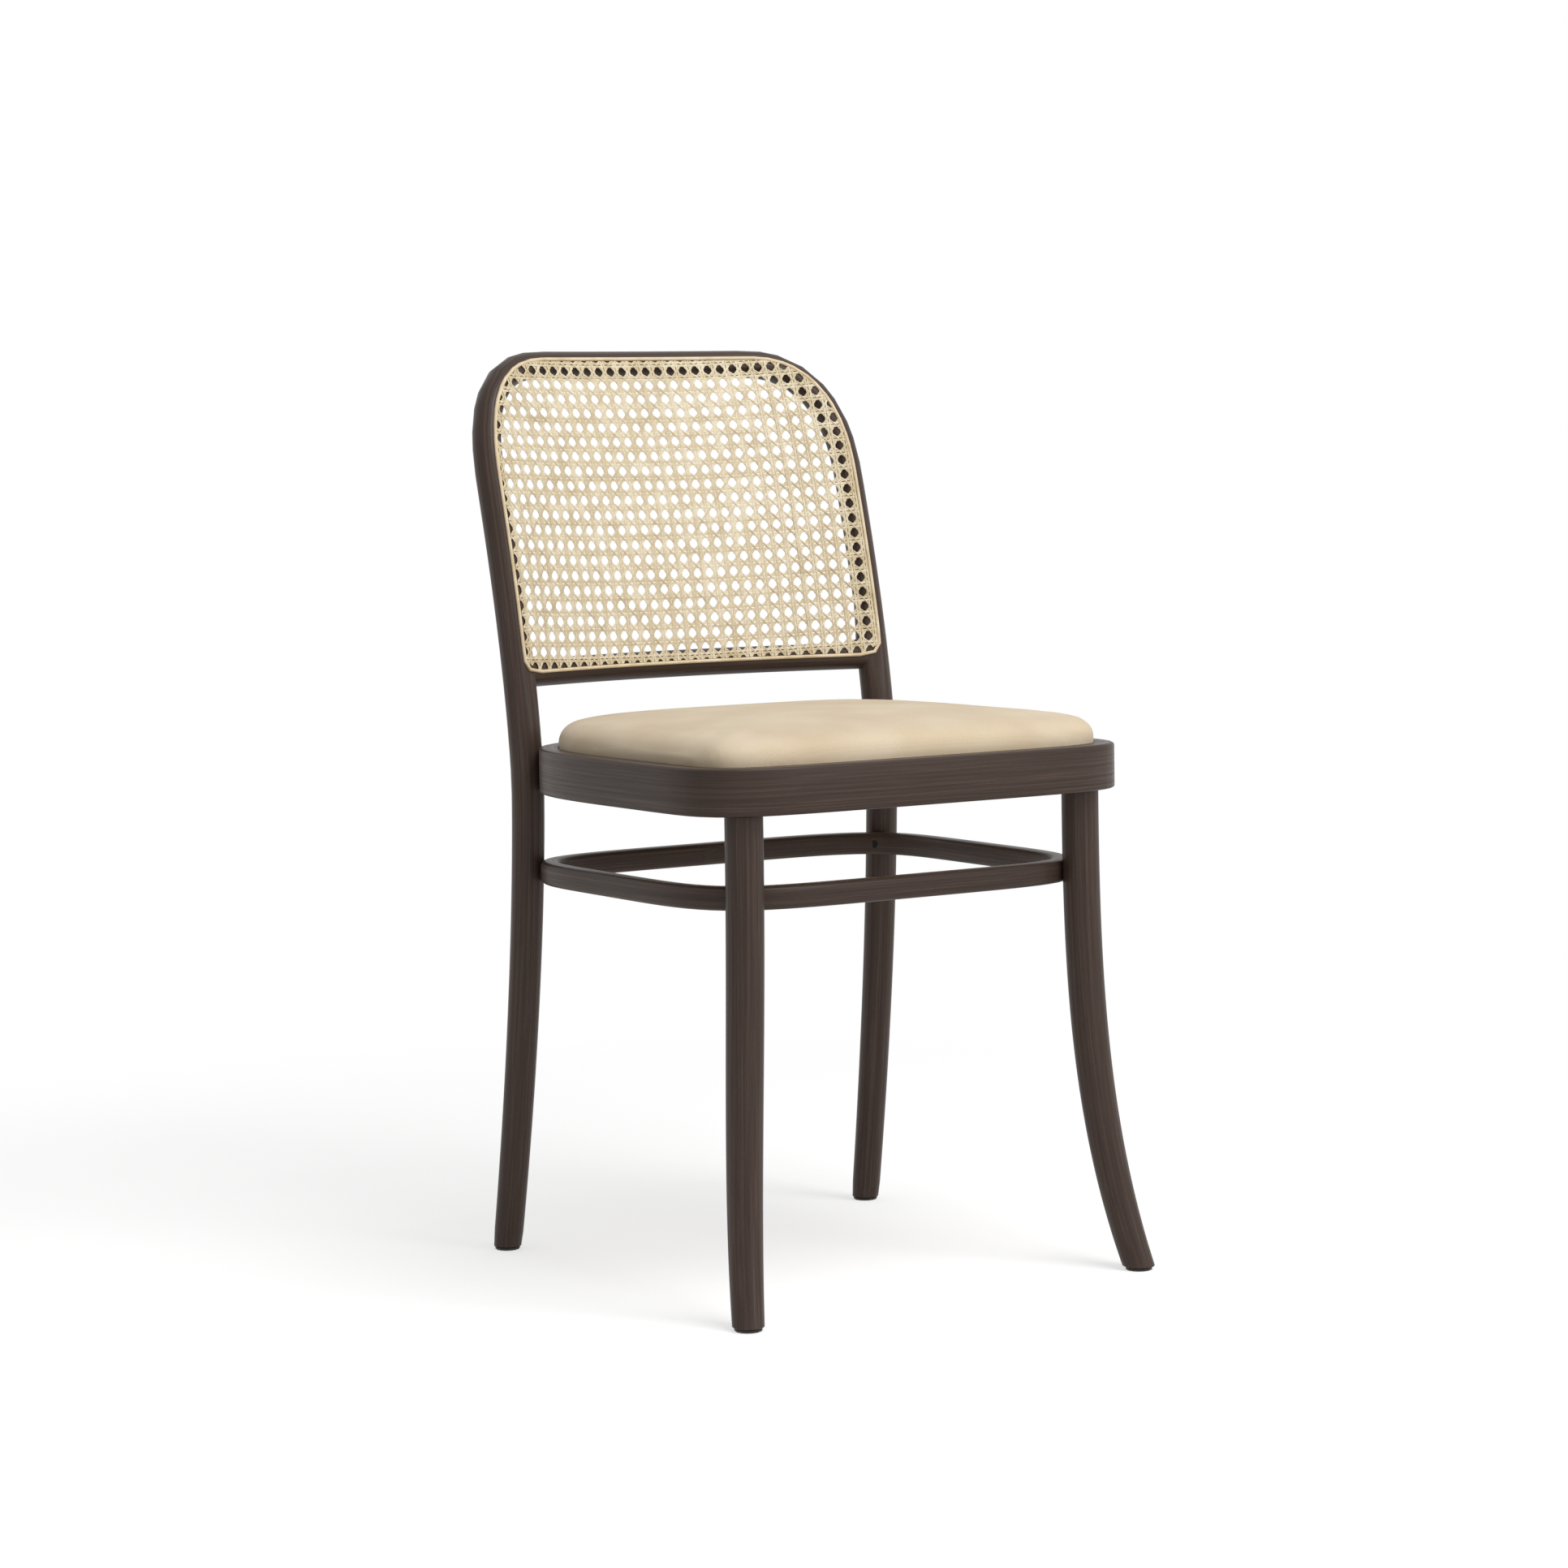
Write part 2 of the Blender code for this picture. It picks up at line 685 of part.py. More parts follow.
def sheet_on_back(name, edge, holes, forward, thickness, material):
    """A sheet with holes, drawn as (across, height) and laid on the curved back.

    Its triangles join near neighbours, so that they follow the hollow of the back.
    """
    loops = [edge, *holes]
    starts = np.cumsum([0] + [len(loop) for loop in loops])
    borders = []
    for start, loop in zip(starts, loops):
        borders += [(start + i, start + (i + 1) % len(loop)) for i in range(len(loop))]
    drawn = [Vector(point) for point in np.concatenate(loops)]
    inside_borders = 1
    points, _, triangles = delaunay_2d_cdt(drawn, borders, [], inside_borders, GAP / 10)[:3]
    middles = np.array([hole.mean(axis=0) for hole in holes])
    work = bmesh.new()
    under, over = [
        [work.verts.new(back_point(*point, lift)) for point in points]
        for lift in (forward, forward + thickness)
    ]
    sheet_faces = []
    for triangle in triangles:
        centre = np.mean([points[corner] for corner in triangle], axis=0)
        nearest_hole = holes[np.linalg.norm(middles - centre, axis=1).argmin()]
        if not holds(nearest_hole, centre):
            sheet_faces.append(work.faces.new([over[corner] for corner in triangle]))
            work.faces.new([under[corner] for corner in reversed(triangle)])
    below = dict(zip(over, under))
    for edge_of_sheet in {edge for face in sheet_faces for edge in face.edges if edge.is_boundary}:
        first, second = edge_of_sheet.verts
        work.faces.new((first, second, below[second], below[first]))
    bmesh.ops.recalc_face_normals(work, faces=work.faces[:])
    mesh = bpy.data.meshes.new(name)
    work.to_mesh(mesh)
    work.free()
    return link(bpy.data.objects.new(name, mesh), material)


cane_edge = bead_line(BEAD_RADIUS + GAP)
cane_panel = sheet_on_back(
    "cane_panel", cane_edge, cane_openings(cane_edge), FLAT_FRONT + GAP, CANE_THICKNESS, cane
)


# Dowels between rail and hoop


def dowel_profile(extra):
    radius = DOWEL_RADIUS + extra
    end = DOWEL_LENGTH / 2 + extra
    neck = radius - DOWEL_CHAMFER
    shoulder = end - DOWEL_CHAMFER
    return [(0, end), (neck, end), (radius, shoulder), (radius, -shoulder), (neck, -end), (0, -end)]


def dowel_places():
    centre_x = BACK_HALF_WIDTH - ROD_RADIUS + DOWEL_IN_HOOP - DOWEL_LENGTH / 2
    places = {}
    centre_y = back_y(RAIL_AXIS) + bow(centre_x)
    for side_name, centre in both_sides((centre_x, centre_y)).items():
        for level_name, level in (("lower", -0.5), ("upper", 0.5)):
            point = (*centre, RAIL_AXIS + level * DOWEL_SPACING)
            places[f"{side_name}_{level_name}"] = aimed(point, (1.0, bow_slope(centre[0]), 0.0))
    return places


dowel = turned("rail_dowel", dowel_profile(0))
for piece in placed("rail_dowel", dowel, dowel_places(), raw_beech).values():
    smooth(piece)
dowel_bores = cutter_group("dowel_bores", turned("bore", dowel_profile(GAP)), dowel_places())
cut(back_hoop, dowel_bores)
cut(back_rail, dowel_bores)


# Seat ring

ring_section = [
    (RING_EDGE, 0.0),
    (RING_EDGE * 0.3, RING_EDGE * 0.3),
    (0.0, RING_EDGE),
    (0.0, RING_HEIGHT - RING_EDGE),
    (RING_EDGE * 0.3, RING_HEIGHT - RING_EDGE * 0.3),
    (RING_EDGE, RING_HEIGHT),
    (REBATE_INSET, RING_HEIGHT),
    (REBATE_INSET, RING_HEIGHT - REBATE_DEPTH),
    (RING_WALL, RING_HEIGHT - REBATE_DEPTH),
    (RING_WALL, RING_EDGE * 0.5),
    (RING_WALL - RING_EDGE * 0.5, 0.0),
]
seat_ring = as_mesh(ring_of_section("seat_ring", ring_line, RING_BOTTOM, ring_section), stained_beech)
smooth(seat_ring)
cut(seat_ring, hoop_bed)


# Stretcher ring


def rounded_section(wide, tall, edge):
    """Closed section with rounded corners, from its outer face inward, centred on height 0."""
    arc = [math.radians(turn) for turn in (0, 45, 90)]
    corners = [(edge, tall / 2 - edge, 90), (edge, edge - tall / 2, 180)]
    corners += [(wide - edge, edge - tall / 2, 270), (wide - edge, tall / 2 - edge, 0)]
    points = []
    for inward, upward, start in corners:
        for turn in arc:
            angle = math.radians(start) + turn
            points.append((inward + edge * math.cos(angle), upward + edge * math.sin(angle)))
    return points


stretcher_section = rounded_section(STRETCHER_WIDE, STRETCHER_TALL, STRETCHER_EDGE)
stretcher_curve = ring_of_section("stretcher_ring", stretcher_line, STRETCHER_HEIGHT, stretcher_section)
stretcher_ring = smooth(as_mesh(stretcher_curve, stained_beech))
cut(stretcher_ring, hoop_bed)


# Front legs


def front_leg_curve(name, side, extra):
    """A bent, tapered leg below a round shoulder, with its tenon above."""
    overshoot = -2 * GLIDE_THICKNESS
    heights = np.linspace(overshoot, RING_BOTTOM - GAP, 300)
    line = np.array([[*front_leg_centre(height), height] for height in heights])
    line = spaced(line, LEG_POINTS)
    radii = [front_leg_radius(height) + extra for height in line[:, 2]]
    shoulder = RING_BOTTOM - GAP
    tenon_top = shoulder + TENON_LENGTH
    for height in (shoulder + GAP / 3, tenon_top):
        line = np.append(line, [[FRONT_LEG_X, FRONT_LEG_Y, height]], axis=0)
        radii.append(TENON_RADIUS + extra)
    return swept(name, line * [side, 1, 1], radii)


front_legs = {}
for side_name, side in (("left", -1), ("right", 1)):
    leg = as_mesh(front_leg_curve(f"front_leg_{side_name}", side, 0.0), stained_beech)
    front_legs[side_name] = smooth(leg)
    leg_bed = as_mesh(front_leg_curve(f"leg_bed_{side_name}", side, GAP), collection=cutters)
    cut(stretcher_ring, leg_bed)

tenon_bore = [
    (0, TENON_LENGTH + GAP),
    (TENON_RADIUS + GAP, TENON_LENGTH + GAP),
    (TENON_RADIUS + GAP, -GLIDE_THICKNESS),
    (0, -GLIDE_THICKNESS),
]
tenon_centres = both_sides((FRONT_LEG_X, FRONT_LEG_Y))
tenon_places = {
    side_name: Matrix.Translation((*centre, RING_BOTTOM)) for side_name, centre in tenon_centres.items()
}
tenon_bores = cutter_group("tenon_bores", turned("bore", tenon_bore, ROD_SIDES), tenon_places)
cut(seat_ring, tenon_bores)


# Corner blocks


def toward_corner(centre):
    """Unit vector from a tenon's axis to the nearest front corner of the ring."""
    return np.array([math.copysign(math.sqrt(0.5), centre[0]), -math.sqrt(0.5)])


def block_outline():
    """The part of the ring's inside corner, on the right, beyond the block's inner face."""
    centre = tenon_centres["right"]
    way = toward_corner(centre)
    return beyond(inset(ring_line, RING_WALL + GAP), centre - BLOCK_REACH * way, way)


corner_blocks = []
for side_name, outline in {"right": block_outline(), "left": block_outline() * [-1, 1]}.items():
    top = LEDGE - BLOCK_CLEARANCE
    block = plate(f"corner_block_{side_name}", [outline], RING_BOTTOM, top, raw_beech)
    cut(block, tenon_bores)
    corner_blocks.append(block)


# Upholstered seat


def seat_profile(skin):
    """Section of the cushion's surface, taken in by a skin: (inset, height) points.

    It runs from the hem's inner edge out under the board, up the side and over the shoulder.
    """
    wall = REBATE_INSET + COVER_CLEARANCE
    side = wall - CUSHION_BULGE
    fold = 2 * COVER_THICKNESS
    underside = LEDGE + GAP
    side_top = RING_TOP + CUSHION_SIDE
    rise = CUSHION_CROWN - CUSHION_DOME - CUSHION_SIDE
    turn = np.linspace(0, math.pi / 2, SHOULDER_POINTS)
    shoulder = [side + CUSHION_SHOULDER * (1 - np.cos(turn)), side_top + rise * np.sin(turn)]
    points = np.array([
        (wall + COVER_HEM, underside),
        (wall + fold, underside),
        (wall, underside + fold),
        (wall, RING_TOP - fold / 2),
        (side, RING_TOP + CUSHION_SIDE / 2),
        *np.transpose(shoulder),
    ])
    run = np.diff(points, axis=0)
    run /= np.linalg.norm(run, axis=1)[:, None]
    normal = np.stack([run[:, 1], -run[:, 0]], axis=1)
    first = np.concatenate([normal[:1], normal])
    last = np.concatenate([normal, normal[-1:]])
    miter = (first + last) / (1 + (first * last).sum(axis=1))[:, None]
    return points + skin * miter


def seat_rings(skin):
    """Level rings of the cushion's surface, up to the small ring round its middle."""
    outside = ring_outline(CUSHION_POINTS)
    rings = [(inset(outside, distance), height) for distance, height in seat_profile(skin)]
    edge, height = rings[-1]
    rise = RING_TOP + CUSHION_CROWN - skin - height
    middle = (edge.max(axis=0) + edge.min(axis=0)) / 2
    shares = np.linspace(1, MIDDLE_SHARE, DOME_RINGS + 1)[1:]
    for share in shares:
        lift = (1 - share**DOME_POWER) / (1 - MIDDLE_SHARE**DOME_POWER)
        rings.append((middle + (edge - middle) * share, height + rise * lift))
    return rings


seat_cover = lofted("seat_cover", seat_rings(0.0), False, cover_fabric)
shell = seat_cover.modifiers.new("cloth thickness", "SOLIDIFY")
shell.thickness = COVER_THICKNESS
shell.offset = -1.0
shell.use_even_offset = True
smooth(seat_cover)

board_bottom = LEDGE + COVER_THICKNESS + 2 * GAP
board_top = board_bottom + BOARD_THICKNESS
board_inset = REBATE_INSET + COVER_CLEARANCE + 2 * COVER_THICKNESS + GAP
board_outline = inset(ring_outline(CUSHION_POINTS), board_inset)
seat_board = plate("seat_board", [board_outline], board_bottom, board_top, plywood)


def foam_rings():
    """The cushion's rings above the board, inside the cover."""
    skin = COVER_THICKNESS + GAP
    base_inset = REBATE_INSET + COVER_CLEARANCE + skin
    base = inset(ring_outline(CUSHION_POINTS), base_inset)
    return [(base, board_top + GAP), *seat_rings(skin)[4:]]


seat_foam = smooth(lofted("seat_foam", foam_rings(), True, foam))


# Wood screws: one size throughout


def wood_screw_profile(extra, above):
    """Countersunk screw from its head down, or the hole for it, open above the head."""
    head = SCREW_HEAD + extra
    shank = SCREW_SHANK + extra
    body = SCREW_LENGTH - SCREW_POINT
    return [
        (0, above),
        (head, above),
        (head, -SCREW_RIM - extra),
        (shank, -SCREW_HEAD_DEPTH - extra),
        (shank, -body),
        (0, -SCREW_LENGTH - extra),
    ]


wood_screw = turned("wood_screw", wood_screw_profile(0.0, 0.0))
wood_screw_hole = turned("wood_screw_hole", wood_screw_profile(GAP, SCREW_LENGTH / 3))


def screw_set(name, heads, wood):
    """Screws given as {label: (head centre, direction)}, sunk by the clearance, and their holes."""
    places = {
        label: aimed(Vector(point) + Vector(way) * GAP, way) for label, (point, way) in heads.items()
    }
    placed(name, wood_screw, places, steel)
    holes = cutter_group(f"{name}_holes", wood_screw_hole, places)
    for piece in wood:
        cut(piece, holes)


def stretcher_heads():
    """From the stretcher's inner face square through it into the middle of each leg."""
    heads = {}
    centres = {"rear": rear_leg_centre(STRETCHER_HEIGHT), "front": front_leg_centre(STRETCHER_HEIGHT)}
    for end, centre in centres.items():
        for side_name, leg in both_sides(centre).items():
            foot = nearest(stretcher_line, leg)
            way = (leg - foot) / np.linalg.norm(leg - foot)
            head = foot - way * STRETCHER_WIDE
            heads[f"{end}_{side_name}"] = ((*head, STRETCHER_HEIGHT), (*way, 0.0))
    return heads


def tenon_heads():
    """From the corner block's inner face through it into each front leg's tenon."""
    heads = {}
    for side_name, centre in tenon_centres.items():
        way = toward_corner(centre)
        head = centre - way * BLOCK_REACH
        heads[side_name] = ((*head, LEDGE_MIDDLE), (*way, 0.0))
    return heads


def board_heads():
    """Up through the ring's ledge into the seat board, one on each side of the ring."""
    ledge_line = inset(ring_line, (REBATE_INSET + RING_WALL) / 2)
    x, y = ledge_line.T
    ends = {"left": x.argmin(), "right": x.argmax(), "front": y.argmin(), "back": y.argmax()}
    return {label: ((*ledge_line[end], RING_BOTTOM), (0.0, 0.0, 1.0)) for label, end in ends.items()}


screw_set("stretcher_screw", stretcher_heads(), [stretcher_ring, back_hoop, *front_legs.values()])
screw_set("tenon_screw", tenon_heads(), [*corner_blocks, *front_legs.values()])
screw_set("seat_screw", board_heads(), [seat_ring, seat_cover, seat_board])


# Coach screws that hold the ring to the rear legs


def coach_screw_mesh():
    """Hexagon head on a round shank, head upward, with the head's seat at Z = 0."""
    head = turned("coach_head", hexagon_profile(), 6)
    shank = turned("coach_shank", coach_shank_profile(0.0, GAP))
    blank = link(bpy.data.objects.new("coach_screw", head), collection=cutters)
    tool = link(bpy.data.objects.new("coach_shank", shank), collection=cutters)
    joint = blank.modifiers.new("join", "BOOLEAN")
    joint.operation = "UNION"
    joint.object = tool
    bpy.context.view_layer.update()
    graph = bpy.context.evaluated_depsgraph_get()
    result = bpy.data.meshes.new_from_object(blank.evaluated_get(graph))
    bpy.data.objects.remove(blank)
    bpy.data.objects.remove(tool)
    return result


def hexagon_profile():
    top = COACH_HEAD_HEIGHT
    return [(0, top), (COACH_HEAD_RADIUS, top), (COACH_HEAD_RADIUS, 0), (0, 0)]


def coach_shank_profile(extra, above):
    shank = COACH_SHANK + extra
    body = COACH_LENGTH - SCREW_POINT
    return [(0, above), (shank, above), (shank, -body), (0, -COACH_LENGTH - extra)]


def washer_profile():
    hole = COACH_SHANK + GAP
    low = -WASHER_THICKNESS
    return [(hole, 0), (WASHER_RADIUS, 0), (WASHER_RADIUS, low), (hole, low), (hole, 0)]


def spot_face_profile():
    radius = WASHER_RADIUS + GAP
    return [(0, WASHER_RADIUS), (radius, WASHER_RADIUS), (radius, 0), (0, 0)]


def rear_joint_places(depth):
    """On the axis of each rear leg's screw, at a depth into the ring from its inner face."""
    places = {}
    for side_name, leg in both_sides(rear_leg_centre(LEDGE_MIDDLE)).items():
        foot = nearest(ring_line, leg)
        way = (leg - foot) / np.linalg.norm(leg - foot)
        point = foot - way * (RING_WALL - depth)
        places[side_name] = aimed((*point, LEDGE_MIDDLE), (*way, 0.0))
    return places


washer_top = SPOT_FACE_DEPTH - WASHER_THICKNESS - GAP
screw_seat = washer_top - GAP
placed("rear_leg_screw", coach_screw_mesh(), rear_joint_places(screw_seat), steel)
placed("rear_leg_washer", turned("washer", washer_profile()), rear_joint_places(washer_top), steel)
spot_face = turned("spot_face", spot_face_profile())
spot_faces = cutter_group("spot_faces", spot_face, rear_joint_places(SPOT_FACE_DEPTH))
coach_hole = turned("coach_hole", coach_shank_profile(GAP, WASHER_RADIUS))
coach_holes = cutter_group("coach_holes", coach_hole, rear_joint_places(screw_seat))
cut(seat_ring, spot_faces)
cut(seat_ring, coach_holes)
cut(back_hoop, coach_holes)


# Feet and glides


def floor_cutter():
    """Takes off what reaches below the glides, so that each foot is cut level."""
    room = 2 * (RING_HALF_WIDTH + BACK_HALF_WIDTH)
    depth = 8 * GLIDE_THICKNESS
    box = bmesh.new()
    bmesh.ops.create_cube(box, size=1.0)
    bmesh.ops.transform(box, matrix=Matrix.Diagonal((room, room, depth, 1)), verts=box.verts)
    bmesh.ops.translate(box, vec=(0, 0, GLIDE_THICKNESS + GAP - depth / 2), verts=box.verts)
    mesh = bpy.data.meshes.new("floor")
    box.to_mesh(mesh)
    box.free()
    return link(bpy.data.objects.new("floor", mesh), collection=cutters)


def glide_profile(radius, extra):
    """Disc with a moulded pin that is pressed up into the foot."""
    pin = GLIDE_PIN_RADIUS + extra
    top = GLIDE_THICKNESS + GLIDE_PIN_LENGTH + extra
    disc = GLIDE_THICKNESS
    return [
        (0, top),
        (pin, top),
        (pin, disc),
        (radius - GLIDE_EDGE, disc),
        (radius, disc - GLIDE_EDGE),
        (radius, GLIDE_EDGE),
        (radius - GLIDE_EDGE, 0),
        (0, 0),
    ]


floor = floor_cutter()
feet = {
    "rear": (rear_leg_centre(GLIDE_THICKNESS), rear_leg_radius(0.0)),
    "front": (front_leg_centre(GLIDE_THICKNESS), front_leg_radius(0.0)),
}
pin_hole = turned("pin_hole", glide_profile(GLIDE_PIN_RADIUS + 2 * GLIDE_EDGE, GAP))
pin_places = {}
for end, (centre, radius) in feet.items():
    glide = turned(f"glide_{end}", glide_profile(radius - GLIDE_INSET, 0.0), ROD_SIDES)
    places = {side: Matrix.Translation((*point, 0.0)) for side, point in both_sides(centre).items()}
    for side_name, piece in placed(f"glide_{end}", glide, places, dark_plastic).items():
        pin_places[f"{end}_{side_name}"] = smooth(piece).matrix_world.copy()
pin_holes = cutter_group("pin_holes", pin_hole, pin_places)
for wood in (back_hoop, *front_legs.values()):
    cut(wood, floor)
    cut(wood, pin_holes)
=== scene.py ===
# %% [markdown]
# # Dressing a cane back chair
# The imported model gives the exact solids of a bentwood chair. This lesson keeps every size
# and adds what the eye needs: finely bent rods, a real woven cane, a padded seat that has
# swelled under its cover, and a finish for each surface.

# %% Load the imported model
import json
import math
import bmesh
import bpy
import numpy as np
from mathutils import Matrix, Vector, noise


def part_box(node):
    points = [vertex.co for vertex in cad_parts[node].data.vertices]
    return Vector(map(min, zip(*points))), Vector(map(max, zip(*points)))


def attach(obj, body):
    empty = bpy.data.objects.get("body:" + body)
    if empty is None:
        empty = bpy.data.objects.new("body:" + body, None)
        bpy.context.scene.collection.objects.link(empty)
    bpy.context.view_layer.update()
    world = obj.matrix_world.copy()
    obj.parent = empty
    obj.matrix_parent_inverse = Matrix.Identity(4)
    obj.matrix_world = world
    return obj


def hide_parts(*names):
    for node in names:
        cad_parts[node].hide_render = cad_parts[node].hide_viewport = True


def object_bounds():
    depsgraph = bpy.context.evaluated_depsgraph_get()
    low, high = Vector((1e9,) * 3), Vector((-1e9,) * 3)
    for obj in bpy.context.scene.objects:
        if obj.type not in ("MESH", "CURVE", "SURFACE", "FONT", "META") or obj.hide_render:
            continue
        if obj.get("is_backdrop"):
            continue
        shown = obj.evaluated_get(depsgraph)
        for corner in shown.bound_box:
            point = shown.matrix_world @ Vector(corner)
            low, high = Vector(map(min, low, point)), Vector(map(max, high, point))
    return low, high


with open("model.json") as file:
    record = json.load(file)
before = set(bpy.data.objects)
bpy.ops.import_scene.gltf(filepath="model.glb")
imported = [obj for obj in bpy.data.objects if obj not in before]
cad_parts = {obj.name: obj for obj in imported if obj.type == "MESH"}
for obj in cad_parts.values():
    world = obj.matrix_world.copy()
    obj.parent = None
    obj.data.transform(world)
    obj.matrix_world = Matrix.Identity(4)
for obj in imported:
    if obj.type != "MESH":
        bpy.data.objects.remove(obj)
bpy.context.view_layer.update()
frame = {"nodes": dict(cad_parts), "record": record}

# %% [markdown]
# ## The sizes that the pieces share
# A finer piece has to lie exactly where its solid lies, so the curves of the chair are
# written once here, in metres, as the solids have them: +Z is up and the chair faces -Y.

# %% Sizes
ROD = 0.0152
BACK_HALF_WIDTH = 0.1979
BACK_LINE, BACK_RAKE, BACK_BEND, BACK_BOW = 0.1320, 0.0868, 1.48, 0.0360
REAR_FOOT_SPREAD, REAR_FOOT_SWEEP, REAR_FOOT_TAPER, REAR_LEG_BEND = 0.0058, 0.0498, 0.0017, 1.62
BEND_HEIGHT, TOP_AXIS, RAIL_AXIS = 0.4400, 0.8298, 0.5472
CORNER_ACROSS, CORNER_DOWN, CORNER_POWER = 0.0857, 0.1120, 2.513
FLAT_FRONT = 0.0140
BEAD_AXIS, BEAD_RADIUS, BEAD_LIFT, BEAD_DROP, BEAD_CORNER = 0.0146, 0.00175, 0.0030, 0.0027, 0.0140
RING_HALF_WIDTH, RING_FRONT, RING_WIDEST = 0.2281, -0.2503, -0.1130
RING_FRONT_POWER, RING_BACK_POWER = 5.35, 3.95
RING_BOTTOM, RING_TOP, RING_WALL = 0.4381, 0.4795, 0.0300
REBATE_INSET, LEDGE = 0.0180, 0.4675
SEATING, GAP = 0.0010, 0.0003
FLOOR_CLEARANCE = 0.0033
DIAGONAL = np.array([1.0, 1.0]) / math.sqrt(2)

# %% [markdown]
# ## Curves of the back and the legs
# The back leans, curves and is hollow towards the sitter, and hoop, rail, cane and reed all
# follow it. One surface stands for it, so that each piece can say how far across, how high
# and how far in front of that surface it lies. Below the seat the same rod becomes the leg.

# %% Curves of the back and the legs


def above_seat(height):
    return np.maximum(height - BEND_HEIGHT, 0.0) / (TOP_AXIS - BEND_HEIGHT)


def below_seat(height):
    return np.maximum(BEND_HEIGHT - height, 0.0) / BEND_HEIGHT


def back_y(height):
    rake = BACK_RAKE * above_seat(height) ** BACK_BEND
    return BACK_LINE + rake + REAR_FOOT_SWEEP * below_seat(height) ** REAR_LEG_BEND


def bow(across):
    return BACK_BOW * (1 - (across / BACK_HALF_WIDTH) ** 2)


def back_slope(height, step=0.001):
    """How far the back leans for each metre up, and how long that sloping metre is."""
    slope = (back_y(height + step) - back_y(height - step)) / (2 * step)
    return slope, np.sqrt(1 + slope**2)


def on_back(across, height, forward):
    """Points in front of the back's hollow surface, measured square to it in side view."""
    slope, length = back_slope(height)
    y = back_y(height) + bow(across) - forward / length
    return np.stack(np.broadcast_arrays(across, y, height + forward * slope / length), axis=-1)


def rear_leg_x(height):
    return BACK_HALF_WIDTH + REAR_FOOT_SPREAD * below_seat(height) ** REAR_LEG_BEND


def rear_leg_radius(height):
    return ROD - REAR_FOOT_TAPER * below_seat(height) ** REAR_LEG_BEND


def mirrored(half, closed=False):
    """A line up to the middle, then its mirror image. A closed one starts in the middle too."""
    way_back = half[-2:0:-1] if closed else half[-2::-1]
    return np.concatenate([half, way_back * [-1, 1]])


print("the back's middle lies", round(1000 * BACK_BOW), "mm behind its sides")

# %% [markdown]
# ## Camera
# The photograph was taken with a long lens from the chair's front left, a little above the
# seat. The camera's place and its lens were worked out from the chair's own outlines.

# %% Camera
TURN, DOWN, ROLL = math.radians(-32.653), math.radians(4.941), math.radians(-1.0)
ahead = Vector((-math.sin(TURN) * math.cos(DOWN), math.cos(TURN) * math.cos(DOWN), -math.sin(DOWN)))
level = Vector((math.cos(TURN), math.sin(TURN), 0.0))
upright = level.cross(ahead)
right = level * math.cos(ROLL) + upright * math.sin(ROLL)
upward = upright * math.cos(ROLL) - level * math.sin(ROLL)
camera = bpy.data.objects.new("camera", bpy.data.cameras.new("camera"))
bpy.context.scene.collection.objects.link(camera)
camera.matrix_world = Matrix.Translation((-2.0226, -3.1554, 0.7640)) @ Matrix(
    (right, upward, -ahead)
).transposed().to_4x4()
camera.data.sensor_width = 36.0
camera.data.lens = 93.29
bpy.context.scene.camera = camera
bpy.context.scene.view_settings.view_transform = "Standard"
print("camera height", round(camera.location.z, 3), "m, lens", camera.data.lens, "mm")

# %% [markdown]
# ## Small helpers for materials
# Colours are picked on screen as hex values, which are sRGB, while shaders work in linear
# light. One function converts them. Another adds a node with its settings and its links.

# %% Material helpers


def linear(hex_colour):
    channels = [int(hex_colour[i : i + 2], 16) / 255 for i in (0, 2, 4)]
    return [c / 12.92 if c <= 0.04045 else ((c + 0.055) / 1.055) ** 2.4 for c in channels] + [1.0]


def add_node(tree, kind, settings=None, links=None):
    """Adds a node. A setting that is no property of the node is the value of one of its inputs."""
    node = tree.nodes.new(kind)
    for name, value in (settings or {}).items():
        if isinstance(name, str) and hasattr(node, name):
            setattr(node, name, value)
        else:
            node.inputs[name].default_value = value
    for name, source in (links or {}).items():
        tree.links.new(source, node.inputs[name])
    return node


def new_material(name):
    material = bpy.data.materials.new(name)
    material.use_nodes = True
    material.node_tree.nodes.clear()
    return material, material.node_tree


def finish_surface(tree, settings, links):
    shader = add_node(tree, "ShaderNodeBsdfPrincipled", settings, links)
    add_node(tree, "ShaderNodeOutputMaterial", links={"Surface": shader.outputs["BSDF"]})


def colour_steps(tree, source, steps):
    """A colour ramp through (position, hex colour) steps."""
    ramp = add_node(tree, "ShaderNodeValToRGB", links={"Fac": source})
    elements = ramp.color_ramp.elements
    while len(elements) < len(steps):
        elements.new(0.5)
    for element, (position, hex_colour) in zip(elements, steps):
        element.position = position
        element.color = linear(hex_colour)
    return ramp.outputs["Color"]


# %% [markdown]
# ## Stained beech
# The chair is steam-bent beech under a dark brown stain and a satin lacquer. The stain
# gathers in the pores, so the grain shows as fine darker lines along each rod. Bending
# carries the grain with it, so the pattern is laid on the unbent rod: each bent piece
# keeps, as an attribute, where every point was while the rod was straight.

# %% Stained beech


